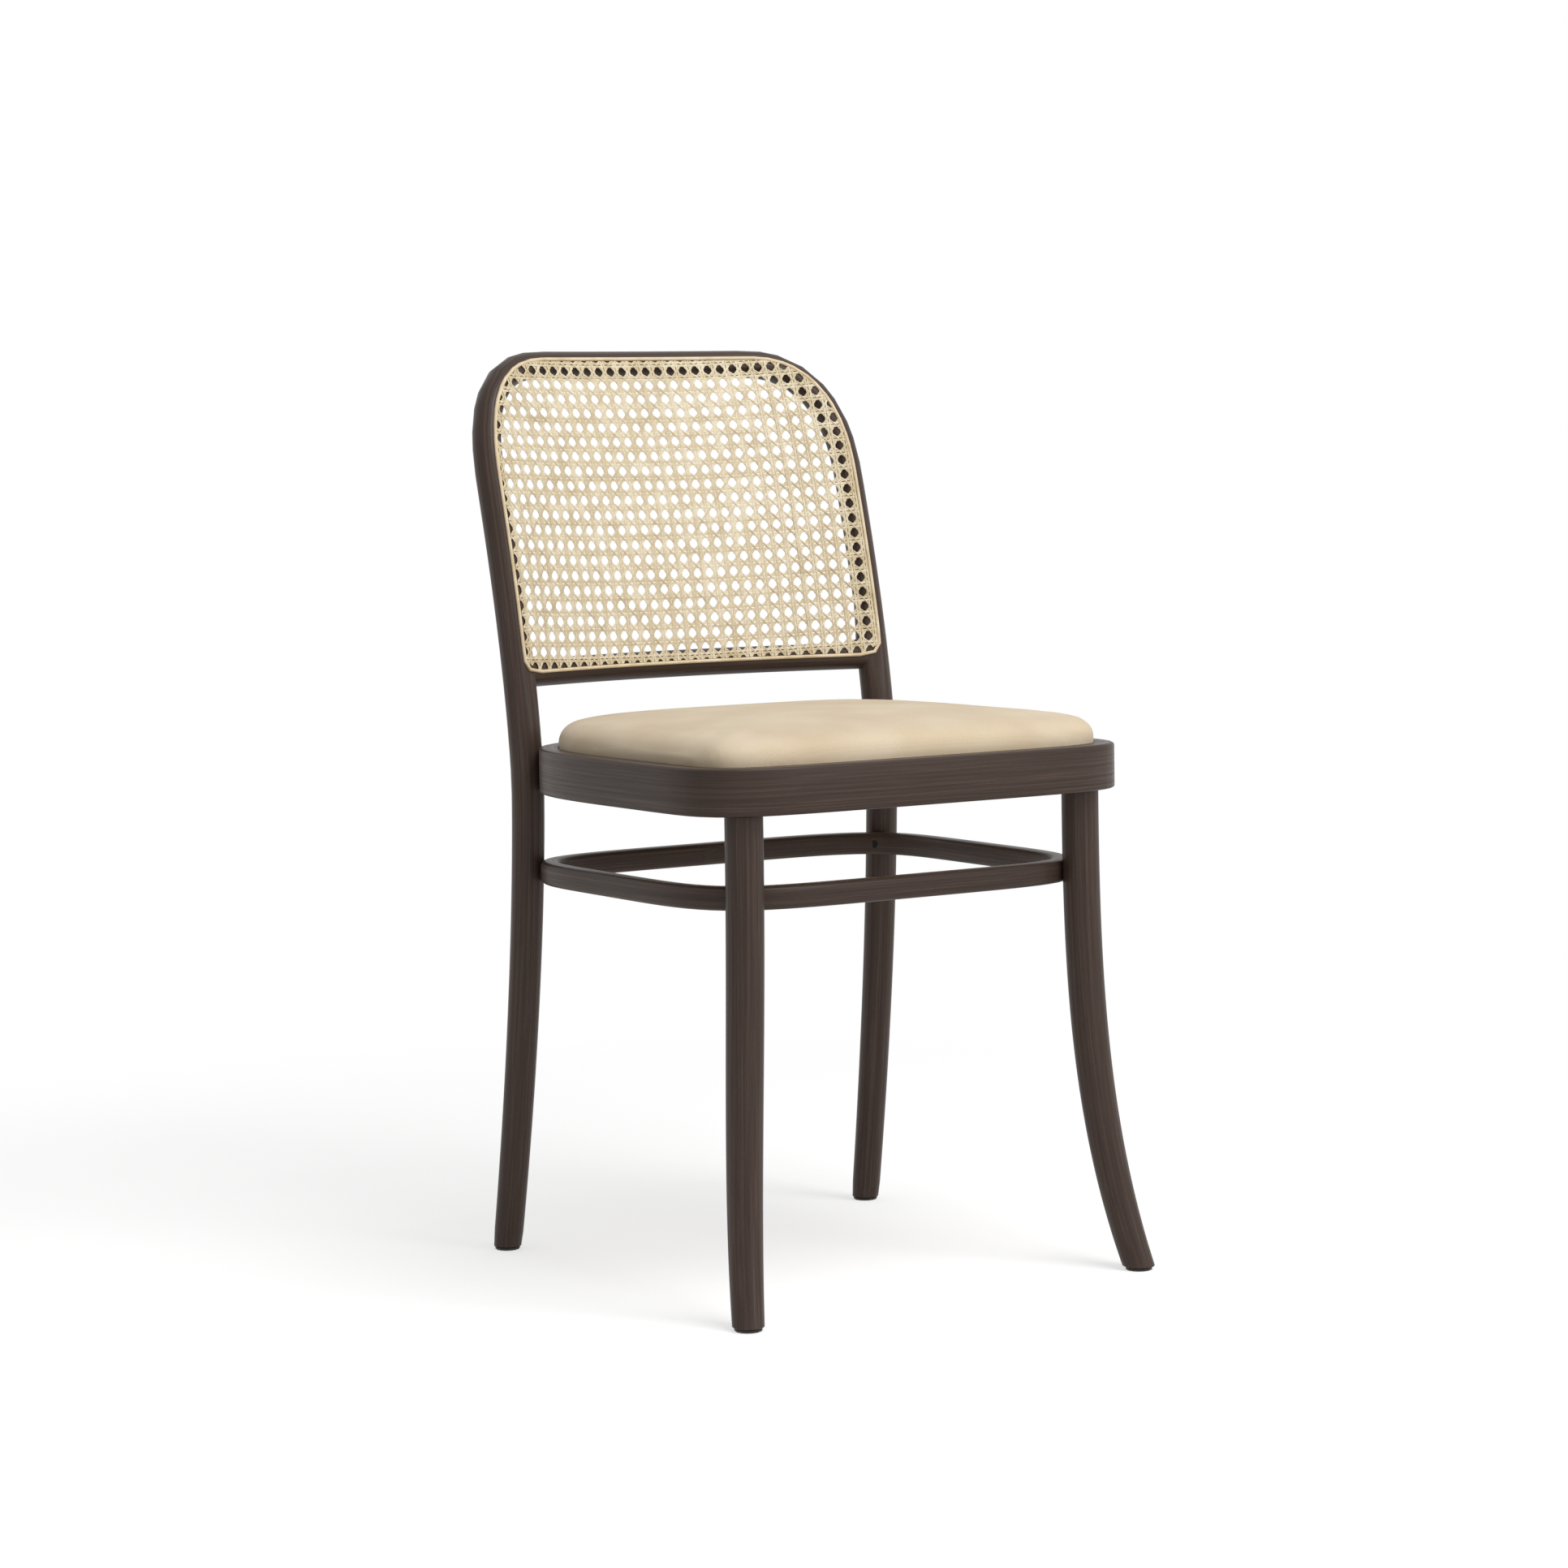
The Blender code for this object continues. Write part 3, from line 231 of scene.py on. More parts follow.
def stained_beech(name):
    material, tree = new_material(name)
    unbent = add_node(tree, "ShaderNodeAttribute", {"attribute_name": "unbent"})
    figures = (
        # growth bands 2 to 3 mm wide that run for about a third of a metre
        ((420, 420, 3.0), {"Scale": 1.0, "Detail": 4.0, "Roughness": 0.6}),
        # lines of pores about 0.8 mm apart and 60 mm long, drawn a little coarser than real ones
        ((1250, 1250, 16), {"Scale": 1.0, "Detail": 3.0, "Roughness": 0.55}),
        # short ray flecks, 0.5 mm wide and 4 mm long
        ((2000, 2000, 240), {"Scale": 1.0, "Detail": 1.0}),
    )
    made = []
    for scale, settings in figures:
        stretch = add_node(
            tree, "ShaderNodeMapping", {"Scale": scale}, {"Vector": unbent.outputs["Vector"]}
        )
        made.append(
            add_node(tree, "ShaderNodeTexNoise", settings, {"Vector": stretch.outputs["Vector"]})
        )
    band, line, fleck = made
    both = add_node(
        tree, "ShaderNodeMath", {"operation": "MULTIPLY_ADD", 1: 0.55},
        {0: line.outputs["Fac"], 2: band.outputs["Fac"]},
    )
    grain = add_node(
        tree, "ShaderNodeMath", {"operation": "MULTIPLY_ADD", 1: 0.18},
        {0: fleck.outputs["Fac"], 2: both.outputs["Value"]},
    )
    colour = colour_steps(
        tree, grain.outputs["Value"],
        [(0.60, "352A23"), (0.78, "3D3029"), (0.92, "453730"), (1.0, "504038")],
    )
    gloss = add_node(
        tree, "ShaderNodeMapRange",
        {"From Min": 0.6, "From Max": 1.1, "To Min": 0.50, "To Max": 0.36},
        {"Value": grain.outputs["Value"]},
    )
    relief = add_node(
        tree, "ShaderNodeBump", {"Strength": 0.35, "Distance": 0.00012},
        {"Height": grain.outputs["Value"]},
    )
    finish_surface(
        tree,
        {"Specular IOR Level": 0.18, "Coat Weight": 0.06, "Coat Roughness": 0.22, "IOR": 1.5},
        {"Base Color": colour, "Roughness": gloss.outputs["Result"], "Normal": relief.outputs["Normal"]},
    )
    return material


beech = stained_beech("stained beech, satin lacquer")
print("made", beech.name)

# %% [markdown]
# ## Bending a rod
# The workshop turns a straight round rod, steams it and bends it round a mould. The same
# two steps make a clean mesh here: a cylinder is added, its long edges are subdivided into
# many rings, and each ring is moved to its place on the line. No seam has to be modelled,
# and the rod's own grain is remembered on the way.

# %% Rod bender


def only(obj):
    """Makes an object the only selected one, because operators act on all that is selected."""
    bpy.ops.object.select_all(action="DESELECT")
    obj.select_set(True)
    bpy.context.view_layer.objects.active = obj
    return obj


def straight_stock(name, sides, rings, capped):
    """A unit cylinder, standing on the origin, with its length cut into rings."""
    bpy.ops.object.select_all(action="DESELECT")
    bpy.ops.mesh.primitive_cylinder_add(
        vertices=sides, radius=1.0, depth=1.0, location=(0, 0, 0.5),
        end_fill_type="NGON" if capped else "NOTHING",
    )
    stock = bpy.context.object
    stock.name = stock.data.name = name
    bpy.ops.object.transform_apply(location=True)
    bpy.ops.object.mode_set(mode="EDIT")
    bpy.ops.mesh.select_mode(type="EDGE")
    bpy.ops.mesh.select_all(action="DESELECT")
    mesh = bmesh.from_edit_mesh(stock.data)
    for edge in mesh.edges:
        edge.select = abs(edge.verts[0].co.z - edge.verts[1].co.z) > 0.5
    bmesh.update_edit_mesh(stock.data)
    bpy.ops.mesh.subdivide(number_cuts=rings - 2)
    bpy.ops.object.mode_set(mode="OBJECT")
    return stock


def coordinates(obj):
    flat = np.empty(3 * len(obj.data.vertices))
    obj.data.vertices.foreach_get("co", flat)
    return flat.reshape(-1, 3)


def place(obj, points):
    obj.data.vertices.foreach_set("co", np.asarray(points, float).ravel())
    obj.data.update()


def remember(obj, name, values):
    """Keeps one value or one vector for each point, for a material to read."""
    values = np.asarray(values, float)
    kind, field = ("FLOAT", "value") if values.ndim == 1 else ("FLOAT_VECTOR", "vector")
    store = obj.data.attributes.new(name, kind, "POINT")
    store.data.foreach_set(field, values.ravel())


def close_up(obj, angle=40):
    """Joins points that meet, turns the faces outwards and shades the mesh smooth."""
    only(obj)
    bpy.ops.object.mode_set(mode="EDIT")
    bpy.ops.mesh.select_all(action="SELECT")
    bpy.ops.mesh.remove_doubles(threshold=0.00001)
    bpy.ops.mesh.normals_make_consistent(inside=False)
    bpy.ops.object.mode_set(mode="OBJECT")
    bpy.ops.object.shade_smooth_by_angle(angle=math.radians(angle))
    return obj


def run_along(line):
    """How far along the line each of its points lies."""
    steps = np.linalg.norm(np.diff(line, axis=0), axis=1)
    return np.concatenate([[0.0], np.cumsum(steps)])


def inward_of(outline):
    """The level direction towards the inside at each point of a closed outline."""
    way = np.roll(outline, -1, axis=0) - np.roll(outline, 1, axis=0)
    way /= np.linalg.norm(way, axis=1)[:, None]
    return np.stack([-way[:, 1], way[:, 0]], axis=1)


def inset(outline, distance):
    """A closed outline moved inwards, or outwards by a distance below nought."""
    return outline + distance * inward_of(outline)


def ring_and_corner(stock, rings, sides):
    """Which ring of the straight stock each point is on, and which corner of that ring it is."""
    ring = np.rint(stock[:, 2] * (rings - 1)).astype(int)
    turn = np.arctan2(stock[:, 1], stock[:, 0]) % (2 * math.pi)
    return ring, np.rint(turn / (2 * math.pi) * sides).astype(int) % sides


def frames_along(line, closed):
    """Tangent and two square directions at each point, carried along so that nothing twists."""
    if closed:
        tangent = np.roll(line, -1, axis=0) - np.roll(line, 1, axis=0)
    else:
        tangent = np.gradient(line, axis=0)
    tangent /= np.linalg.norm(tangent, axis=1)[:, None]
    first = np.cross(tangent[0], [0.0, 0.31, 0.95] if abs(tangent[0][2]) < 0.8 else [1.0, 0.0, 0.0])
    sides = [first / np.linalg.norm(first)]
    for way in tangent[1:]:
        side = sides[-1] - way * (sides[-1] @ way)
        sides.append(side / np.linalg.norm(side))
    sides = np.array(sides)
    return sides, np.cross(tangent, sides)


def bent_rod(name, line, radii, sides=28, closed=False):
    """A round rod bent along a line. A closed one meets itself."""
    if closed:
        line = np.concatenate([line, line[:1]])
        radii = np.concatenate([radii, radii[:1]])
    rod = straight_stock(name, sides, len(line), not closed)
    stock = coordinates(rod)
    ring, _ = ring_and_corner(stock, len(line), sides)
    side, other = frames_along(line[:-1] if closed else line, closed)
    if closed:
        side, other = (np.concatenate([s, s[:1]]) for s in (side, other))
    reach = radii[ring][:, None]
    around = stock[:, :1] * side[ring] + stock[:, 1:2] * other[ring]
    place(rod, line[ring] + reach * around)
    remember(rod, "unbent", np.column_stack([reach * stock[:, :2], run_along(line)[ring]]))
    return rod, ring


def bent_bar(name, outline, height, section):
    """A moulded bar bent into a level ring. The section is (inward, upward) from the outline."""
    loop = np.concatenate([outline, outline[:1]])
    bar = straight_stock(name, len(section), len(loop), False)
    stock = coordinates(bar)
    ring, corner = ring_and_corner(stock, len(loop), len(section))
    inward = inward_of(outline)
    inward = np.concatenate([inward, inward[:1]])
    moulding = np.array(section)[corner]
    spot = loop[ring] + moulding[:, :1] * inward[ring]
    place(bar, np.column_stack([spot, height + moulding[:, 1]]))
    remember(bar, "unbent", np.column_stack([moulding, run_along(loop)[ring]]))
    return close_up(bar, 50)


def evenly(points, count, closed=False):
    """The same line with evenly spaced points."""
    points = np.asarray(points, float)
    if closed:
        points = np.concatenate([points, points[:1]])
    length = run_along(points)
    wanted = np.linspace(0.0, length[-1], count + 1 if closed else count)
    line = np.stack([np.interp(wanted, length, column) for column in points.T], axis=1)
    return line[:-1] if closed else line


def hand_in(piece, slot, material, *nodes):
    """Gives a piece its finish and its body. Points outside its solids' box are moved back to it."""
    piece.data.materials.clear()
    piece.data.materials.append(material)
    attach(piece, "root")
    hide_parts(*nodes)
    corners = np.array([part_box(node) for node in nodes])
    place(piece, np.clip(coordinates(piece), corners[:, 0].min(axis=0), corners[:, 1].max(axis=0)))
    print(piece.name, "has", len(piece.data.polygons), "faces")


# %% [markdown]
# ## The back hoop
# One rod makes both rear legs and the frame of the back. It is bowed in plan, hollow
# towards the sitter, and its front is milled flat where the cane lies on it. The flat is
# made as the plane makes it: every point that stands too far forward is pushed back.
# Behind the cane the rod is slimmer on the side of the opening, and its feet are cut level.

# %% Back hoop
INNER_HALF = 0.0108
SHAVE_START, SHAVE_RUN = 0.560, 0.030
FLAT_RUNOUT = 0.0120
FOOT_REACH, FOOT_FADE = 0.035, 0.020
PANEL_MIDDLE = 0.69


def hoop_corner(lift, count=240):
    """From the straight side round the corner to the middle of the top, drawn on the flat."""
    angle = np.linspace(0, math.pi / 2, count)
    across = BACK_HALF_WIDTH - CORNER_ACROSS * (1 - np.cos(angle) ** (2 / CORNER_POWER))
    start = TOP_AXIS - CORNER_DOWN
    height = start + (CORNER_DOWN + lift) * np.sin(angle) ** (2 / CORNER_POWER)
    corner = np.stack([across, height], axis=1)
    return np.concatenate([corner, np.linspace(corner[-1], (0.0, corner[-1][1]), 60)[1:]])


side_heights = np.linspace(FLOOR_CLEARANCE, TOP_AXIS - CORNER_DOWN, 300)[:-1]
half = np.concatenate([np.stack([rear_leg_x(side_heights), side_heights], axis=1), hoop_corner(0.0)])
flat_line = mirrored(half)
shift = bow(np.minimum(abs(flat_line[:, 0]), BACK_HALF_WIDTH))
hoop_axis = np.stack([flat_line[:, 0], back_y(flat_line[:, 1]) + shift, flat_line[:, 1]], axis=1)
hoop_axis = evenly(hoop_axis, 261)


def eased_ends(line, radii, edge=0.0007):
    """Rounds the rim of both ends with one more ring each, set in by the edge's size."""
    first = line[0] + (line[1] - line[0]) / np.linalg.norm(line[1] - line[0]) * edge
    last = line[-1] + (line[-2] - line[-1]) / np.linalg.norm(line[-2] - line[-1]) * edge
    line = np.concatenate([line[:1], [first], line[1:-1], [last], line[-1:]])
    radii = np.concatenate([[radii[0] - edge], radii[:1], radii[1:-1], radii[-1:], [radii[-1] - edge]])
    return line, radii


def level_foot(rod, foot, next_point):
    """Makes the end of a leg level with the floor, by sliding its points along the leg."""
    points = coordinates(rod)
    way = (next_point - foot) / np.linalg.norm(next_point - foot)
    run = (points - foot) @ way
    near = np.linalg.norm(points - foot, axis=1) < FOOT_REACH
    share = np.where(near, np.clip(1 - run / FOOT_FADE, 0.0, 1.0), 0.0)
    slide = share * (points[:, 2] - foot[2] - run * way[2]) / way[2]
    place(rod, points - slide[:, None] * way)


def back_normal(height):
    """Square to the back's surface in side view, towards the sitter."""
    slope, length = back_slope(height)
    return np.stack([0 * slope, -1 / length, slope / length], axis=-1)


def plane_front(points, limit):
    """Pushes back every point that stands farther forward than the milled flat."""
    normal = back_normal(points[:, 2])
    front = (back_y(points[:, 2]) + bow(points[:, 0]) - points[:, 1]) * -normal[:, 1]
    return points - np.maximum(front - limit, 0.0)[:, None] * normal


def shave_inside(points, centres, inward, share):
    """Flattens the side of a rod that faces the opening, by a share of the full amount."""
    depth = np.maximum(np.sum((points - centres) * inward, axis=1), 0.0)
    return points - (share * (1 - INNER_HALF / ROD) * depth)[:, None] * inward


hoop_line, radii = eased_ends(hoop_axis, rear_leg_radius(hoop_axis[:, 2]))
hoop, ring = bent_rod("back_hoop_bent", hoop_line, radii, sides=32)
points, centres = coordinates(hoop), hoop_line[ring]
inward = np.cross(np.gradient(hoop_line, axis=0)[ring], back_normal(centres[:, 2]))
inward /= np.linalg.norm(inward, axis=1)[:, None]
panel_middle = on_back(np.array(0.0), np.array(PANEL_MIDDLE), 0.0)
inward *= np.sign(np.sum((panel_middle - centres) * inward, axis=1))[:, None]
share = np.clip((centres[:, 2] - SHAVE_START) / SHAVE_RUN, 0.0, 1.0)
points = shave_inside(points, centres, inward, share)
# below the rail the flat runs out, until the rod is round again
runout = np.clip((RAIL_AXIS - ROD - points[:, 2]) / FLAT_RUNOUT, 0.0, 1.0)
limit = np.where(runout < 1, FLAT_FRONT + (ROD + GAP - FLAT_FRONT) * runout, 1.0)
place(hoop, plane_front(points, limit))
level_foot(hoop, hoop_line[0], hoop_line[2])
level_foot(hoop, hoop_line[-1], hoop_line[-3])
hand_in(close_up(hoop), "stained_beech", beech, "back_hoop")

# %% [markdown]
# ## The rail and the front legs
# The rail is a short rod with the same bow, coped against the hoop, so its ends simply run
# into it. The front legs stand straight under the seat and sweep out to the front corners
# near the floor.

# %% Rail
RAIL_RINGS, RAIL_SHAVE_END, RAIL_SHAVE_RUN = 61, 0.1850, 0.0150
across = np.linspace(-BACK_HALF_WIDTH, BACK_HALF_WIDTH, RAIL_RINGS)
rail_axis = on_back(across, np.full(RAIL_RINGS, RAIL_AXIS), 0.0)
rail, ring = bent_rod("back_rail_bent", rail_axis, np.full(RAIL_RINGS, ROD), sides=32)
points, centres = coordinates(rail), rail_axis[ring]
normal = back_normal(centres[:, 2])
inward = np.stack([normal[:, 0], normal[:, 2], -normal[:, 1]], axis=1)
share = np.clip((RAIL_SHAVE_END - abs(centres[:, 0])) / RAIL_SHAVE_RUN, 0.0, 1.0)
place(rail, plane_front(shave_inside(points, centres, inward, share), FLAT_FRONT))
hand_in(close_up(rail), "stained_beech", beech, "back_rail")

# %% Front legs
LEG_X, LEG_Y, LEG_RADIUS, LEG_TAPER = 0.1798, -0.2147, 0.0168, 0.0028
LEG_SPREAD, LEG_SWEEP, SPREAD_BEND, SWEEP_BEND = 0.0308, 0.0420, 2.4, 3.5
LEG_TOP, LEG_RINGS = RING_BOTTOM - GAP, 90


def front_leg_line(side, heights):
    share = np.maximum(RING_BOTTOM - heights, 0.0) / RING_BOTTOM
    x = side * (LEG_X + LEG_SPREAD * share**SPREAD_BEND)
    return np.stack([x, LEG_Y - LEG_SWEEP * share**SWEEP_BEND, heights], axis=1), share


for side, label in ((-1, "left"), (1, "right")):
    line, share = front_leg_line(side, np.linspace(FLOOR_CLEARANCE, LEG_TOP, LEG_RINGS))
    line, radii = eased_ends(line, LEG_RADIUS - LEG_TAPER * share**SWEEP_BEND)
    leg, _ = bent_rod(f"front_leg_{label}_bent", line, radii, sides=32)
    points = coordinates(leg)
    points[:, 2] = np.minimum(points[:, 2], LEG_TOP)
    place(leg, points)
    level_foot(leg, line[0], line[2])
    hand_in(close_up(leg), "stained_beech", beech, f"front_leg_{label}")

# %% [markdown]
# ## The seat ring and the stretcher ring
# Both are bars bent into a loop. The seat ring is a squared oval with a rebate that holds
# the seat, and the stretcher is a softer bar that beds against the four legs. The section
# is drawn once, with its edges rounded, and follows the outline.

# %% Seat ring


def oval(half_width, widest, front_end, back_end, front_power, back_power, count):
    """A squared oval, as a closed line of evenly spaced points, with a power for each half."""
    angle = np.linspace(-math.pi / 2, math.pi / 2, 2001)
    across, along = np.maximum(np.cos(angle), 0.0), np.sin(angle)
    power = np.where(along < 0, front_power, back_power)
    reach = np.where(along < 0, widest - front_end, back_end - widest)
    radius = ((across / half_width) ** power + (abs(along) / reach) ** power) ** (-1 / power)
    half_loop = evenly(np.stack([radius * across, widest + radius * along], axis=1), count // 2 + 1)
    return np.roll(mirrored(half_loop, closed=True), -(count // 2), axis=0)


def reach_through(point, half_width, widest, power):
    """How far an oval has to reach beyond its widest line to pass through a point."""
    return abs(point[1] - widest) / (1 - (point[0] / half_width) ** power) ** (1 / power)


def rounded(corner, start, size, count=5):
    """A quarter round of a section about a corner centre."""
    turns = np.radians(np.linspace(start, start + 90, count))
    return [(corner[0] + size * math.cos(t), corner[1] + size * math.sin(t)) for t in turns]


def rear_leg_touch(height):
    """Where a ring beds against the right rear leg, on the diagonal."""
    axis = np.array([rear_leg_x(height), back_y(height)])
    return axis - (rear_leg_radius(height) - SEATING) * DIAGONAL


touch = rear_leg_touch((RING_BOTTOM + LEDGE) / 2)
RING_BACK = RING_WIDEST + reach_through(touch, RING_HALF_WIDTH, RING_WIDEST, RING_BACK_POWER)
ring_line = oval(
    RING_HALF_WIDTH, RING_WIDEST, RING_FRONT, RING_BACK, RING_FRONT_POWER, RING_BACK_POWER, 240
)
tall, depth = RING_TOP - RING_BOTTOM, RING_TOP - LEDGE
outer_edge, inner_edge, ledge_edge, rebate_edge, lip_edge = 0.0025, 0.001, 0.0004, 0.0003, 0.0008
ring_section = (
    rounded((outer_edge, outer_edge), 180, outer_edge)
    + rounded((RING_WALL - inner_edge, inner_edge), 270, inner_edge, 3)
    + [(RING_WALL, tall - depth - ledge_edge), (RING_WALL - ledge_edge, tall - depth)]
    + [(REBATE_INSET + rebate_edge, tall - depth), (REBATE_INSET, tall - depth + rebate_edge)]
    + rounded((REBATE_INSET - lip_edge, tall - lip_edge), 0, lip_edge, 3)
    + rounded((outer_edge, tall - outer_edge), 90, outer_edge)
)
seat_ring = bent_bar("seat_ring_bent", ring_line, RING_BOTTOM, ring_section)
hand_in(seat_ring, "stained_beech", beech, "seat_ring")

# %% Stretcher ring
STRETCHER_HEIGHT, STRETCHER_TALL, STRETCHER_WIDE, STRETCHER_EDGE = 0.3633, 0.0208, 0.0170, 0.0045
STRETCHER_WIDEST, STRETCHER_BELLY = -0.0122, 0.0225
STRETCHER_FRONT_POWER, STRETCHER_BACK_POWER = 5.0, 4.5
rear = rear_leg_touch(STRETCHER_HEIGHT)
line, share = front_leg_line(1, np.array([STRETCHER_HEIGHT]))
front_radius = LEG_RADIUS - LEG_TAPER * share[0] ** SWEEP_BEND
fore = line[0][:2] - (front_radius - SEATING) * DIAGONAL * [1, -1]
half_width = rear[0] + STRETCHER_BELLY
front_reach = reach_through(fore, half_width, STRETCHER_WIDEST, STRETCHER_FRONT_POWER)
back_reach = reach_through(rear, half_width, STRETCHER_WIDEST, STRETCHER_BACK_POWER)
stretcher_line = oval(
    half_width, STRETCHER_WIDEST, STRETCHER_WIDEST - front_reach, STRETCHER_WIDEST + back_reach,
    STRETCHER_FRONT_POWER, STRETCHER_BACK_POWER, 200,
)
wide, high, edge = STRETCHER_WIDE, STRETCHER_TALL / 2, STRETCHER_EDGE
stretcher_section = (
    rounded((edge, edge - high), 180, edge, 6) + rounded((wide - edge, edge - high), 270, edge, 6)
    + rounded((wide - edge, high - edge), 0, edge, 6) + rounded((edge, high - edge), 90, edge, 6)
)
stretcher = bent_bar("stretcher_ring_bent", stretcher_line, STRETCHER_HEIGHT, stretcher_section)
hand_in(stretcher, "stained_beech", beech, "stretcher_ring")

# %% [markdown]
# ## Cane and reed
# Cane is the shiny bark of rattan, split into flat strands. It is pale straw, each strand a
# little different, with fine fibres along its length and a dull sheen. The reed spline is
# the pith of the same plant, rounder, duller and a touch pinker.

# %% Cane and reed materials


def rattan(name, hexes, fibres, sheen):
    material, tree = new_material(name)
    place_in_room = add_node(tree, "ShaderNodeTexCoord")
    strand = add_node(tree, "ShaderNodeAttribute", {"attribute_name": "strand"})
    along = add_node(
        tree, "ShaderNodeMapping", {"Scale": fibres}, {"Vector": place_in_room.outputs["Object"]}
    )
    fibre = add_node(
        tree, "ShaderNodeTexNoise", {"Scale": 1.0, "Detail": 3.0}, {"Vector": along.outputs["Vector"]}
    )
    # blotches about 15 mm long, from where the bark was scraped
    blotch = add_node(
        tree, "ShaderNodeTexNoise", {"Scale": 65.0, "Detail": 2.0},
        {"Vector": place_in_room.outputs["Object"]},
    )
    mixed = add_node(
        tree, "ShaderNodeMath", {"operation": "MULTIPLY_ADD", 1: 0.45},
        {0: fibre.outputs["Fac"], 2: blotch.outputs["Fac"]},
    )
    tone = add_node(
        tree, "ShaderNodeMath", {"operation": "MULTIPLY_ADD", 1: 0.30},
        {0: strand.outputs["Fac"], 2: mixed.outputs["Value"]},
    )
    colour = colour_steps(
        tree, tone.outputs["Value"], list(zip((0.45, 0.75, 0.95, 1.0), hexes))
    )
    relief = add_node(
        tree, "ShaderNodeBump", {"Strength": 0.3, "Distance": 0.0001},
        {"Height": fibre.outputs["Fac"]},
    )
    finish_surface(
        tree, {"Roughness": 0.46, "IOR": 1.5, "Specular IOR Level": sheen},
        {"Base Color": colour, "Normal": relief.outputs["Normal"]},
    )
    return material


# fibres 0.4 mm wide and 11 mm long, along each family of strands
cane_hexes = ("B9A47E", "CCBB98", "D5C6A5", "DFD2B6")
cane_up = rattan("split cane, fibres up", cane_hexes, (2600, 2600, 90), 0.5)
cane_cross = rattan("split cane, fibres across", cane_hexes, (90, 2600, 2600), 0.5)
cane_slant = rattan("split cane, slanting", cane_hexes, (1200, 2600, 1200), 0.5)
reed = rattan("reed spline", ("CFB893", "DFCCAA", "E9D9BC", "F0E4CC"), (900, 900, 900), 0.3)

# %% [markdown]
# ## Weaving the cane
# The web has six strands to a repeat: a pair runs up, a pair runs across, and a single
# strand slants each way. The slanting ones cross the pairs halfway between two crossings,
# and so they cut the corners off each square and leave an eight-sided opening. One repeat of
# each strand is drawn by extruding a flat six-sided outline over and under its neighbours,
# and arrays repeat it. The sheet is then cut to the frame and laid on the hollow back.

# %% One strand of cane
PITCH_ACROSS, PITCH_UP = 0.01315, 0.01400
STRAND_WIDTH, RISING_WIDTH, FALLING_WIDTH = 0.00240, 0.00215, 0.00170
STRAND_THICKNESS, STRAND_CROWN = 0.00046, 1.15
HALF_PAIR, CROSSWAY_SPREAD = 0.00134, 1.06
LIFT_IN_PAIR, LIFT_SLANT = 0.00025, 0.00050
FIRST_COLUMN, FIRST_ROW = -16.5 * PITCH_ACROSS, -11.5 * PITCH_UP


def repeat(obj, count, offset, merge=False):
    """Repeats a piece at equal steps. Merged copies grow together into one long strand."""
    only(obj)
    array = obj.modifiers.new("repeat", "ARRAY")
    array.use_relative_offset = False
    array.use_constant_offset = True
    array.constant_offset_displace = offset
    array.count = count
    array.use_merge_vertices = merge
    array.merge_threshold = 0.00001
    bpy.ops.object.modifier_apply(modifier=array.name)


def strand(name, width, start, turn, steps):
    """One repeat of a strand: an outline set square to its run, extruded from station to station."""
    bpy.ops.object.select_all(action="DESELECT")
    bpy.ops.mesh.primitive_circle_add(vertices=6, radius=width / 2, fill_type="NOTHING")
    piece = bpy.context.object
    piece.name = piece.data.name = name
    outline = coordinates(piece)
    flatten = STRAND_THICKNESS / 2 / abs(outline[:, 0]).max() / math.sin(math.radians(60))
    across, thick = outline[:, 0], outline[:, 1] * flatten * STRAND_CROWN
    angle = math.radians(turn)
    place(piece, np.stack([
        start[0] + across * math.cos(angle), start[1] + across * math.sin(angle), start[2] + thick,
    ], axis=1))
    bpy.ops.object.mode_set(mode="EDIT")
    bpy.ops.mesh.select_all(action="SELECT")
    for step_along in steps:
        bpy.ops.mesh.extrude_region_move(TRANSFORM_OT_translate={"value": step_along})
    bpy.ops.object.mode_set(mode="OBJECT")
    return piece


def stations(way, places, lifts):
    """Moves from station to station, as the extrude operator wants them."""
    return [
        (way[0] * (b - a), way[1] * (b - a), up - low)
        for a, b, low, up in zip(places, places[1:], lifts, lifts[1:])
    ]


COLUMNS, ROWS = 35, 24
pair_places = (-0.5, -0.3, -0.1, 0.1, 0.3, 0.5)
slant_places = (0.0, 0.18, 0.32, 0.5, 0.68, 0.82, 1.0)
families = {"uprights": [], "crossways": [], "rising": [], "falling": []}
for order in (-1, 1):
    lifts = [0.0, 0.0, order * LIFT_IN_PAIR, -order * LIFT_IN_PAIR, 0.0, 0.0]
    start = (FIRST_COLUMN + order * HALF_PAIR, FIRST_ROW - 0.5 * PITCH_UP, 0.0)
    piece = strand("upright", STRAND_WIDTH, start, 0, stations((0, PITCH_UP), pair_places, lifts))
    repeat(piece, ROWS, (0, PITCH_UP, 0), True)
    repeat(piece, COLUMNS, (PITCH_ACROSS, 0, 0))
    families["uprights"].append(piece)
    start = (FIRST_COLUMN - 0.5 * PITCH_ACROSS, FIRST_ROW + order * HALF_PAIR * CROSSWAY_SPREAD, 0.0)
    lifts = [-lift for lift in lifts]
    piece = strand("crossway", STRAND_WIDTH, start, 90, stations((PITCH_ACROSS, 0), pair_places, lifts))
    repeat(piece, COLUMNS, (PITCH_ACROSS, 0, 0), True)
    repeat(piece, ROWS, (0, PITCH_UP, 0))
    families["crossways"].append(piece)
wave = [LIFT_SLANT * w for w in (1, 0.75, -0.75, -1, -0.75, 0.75, 1)]
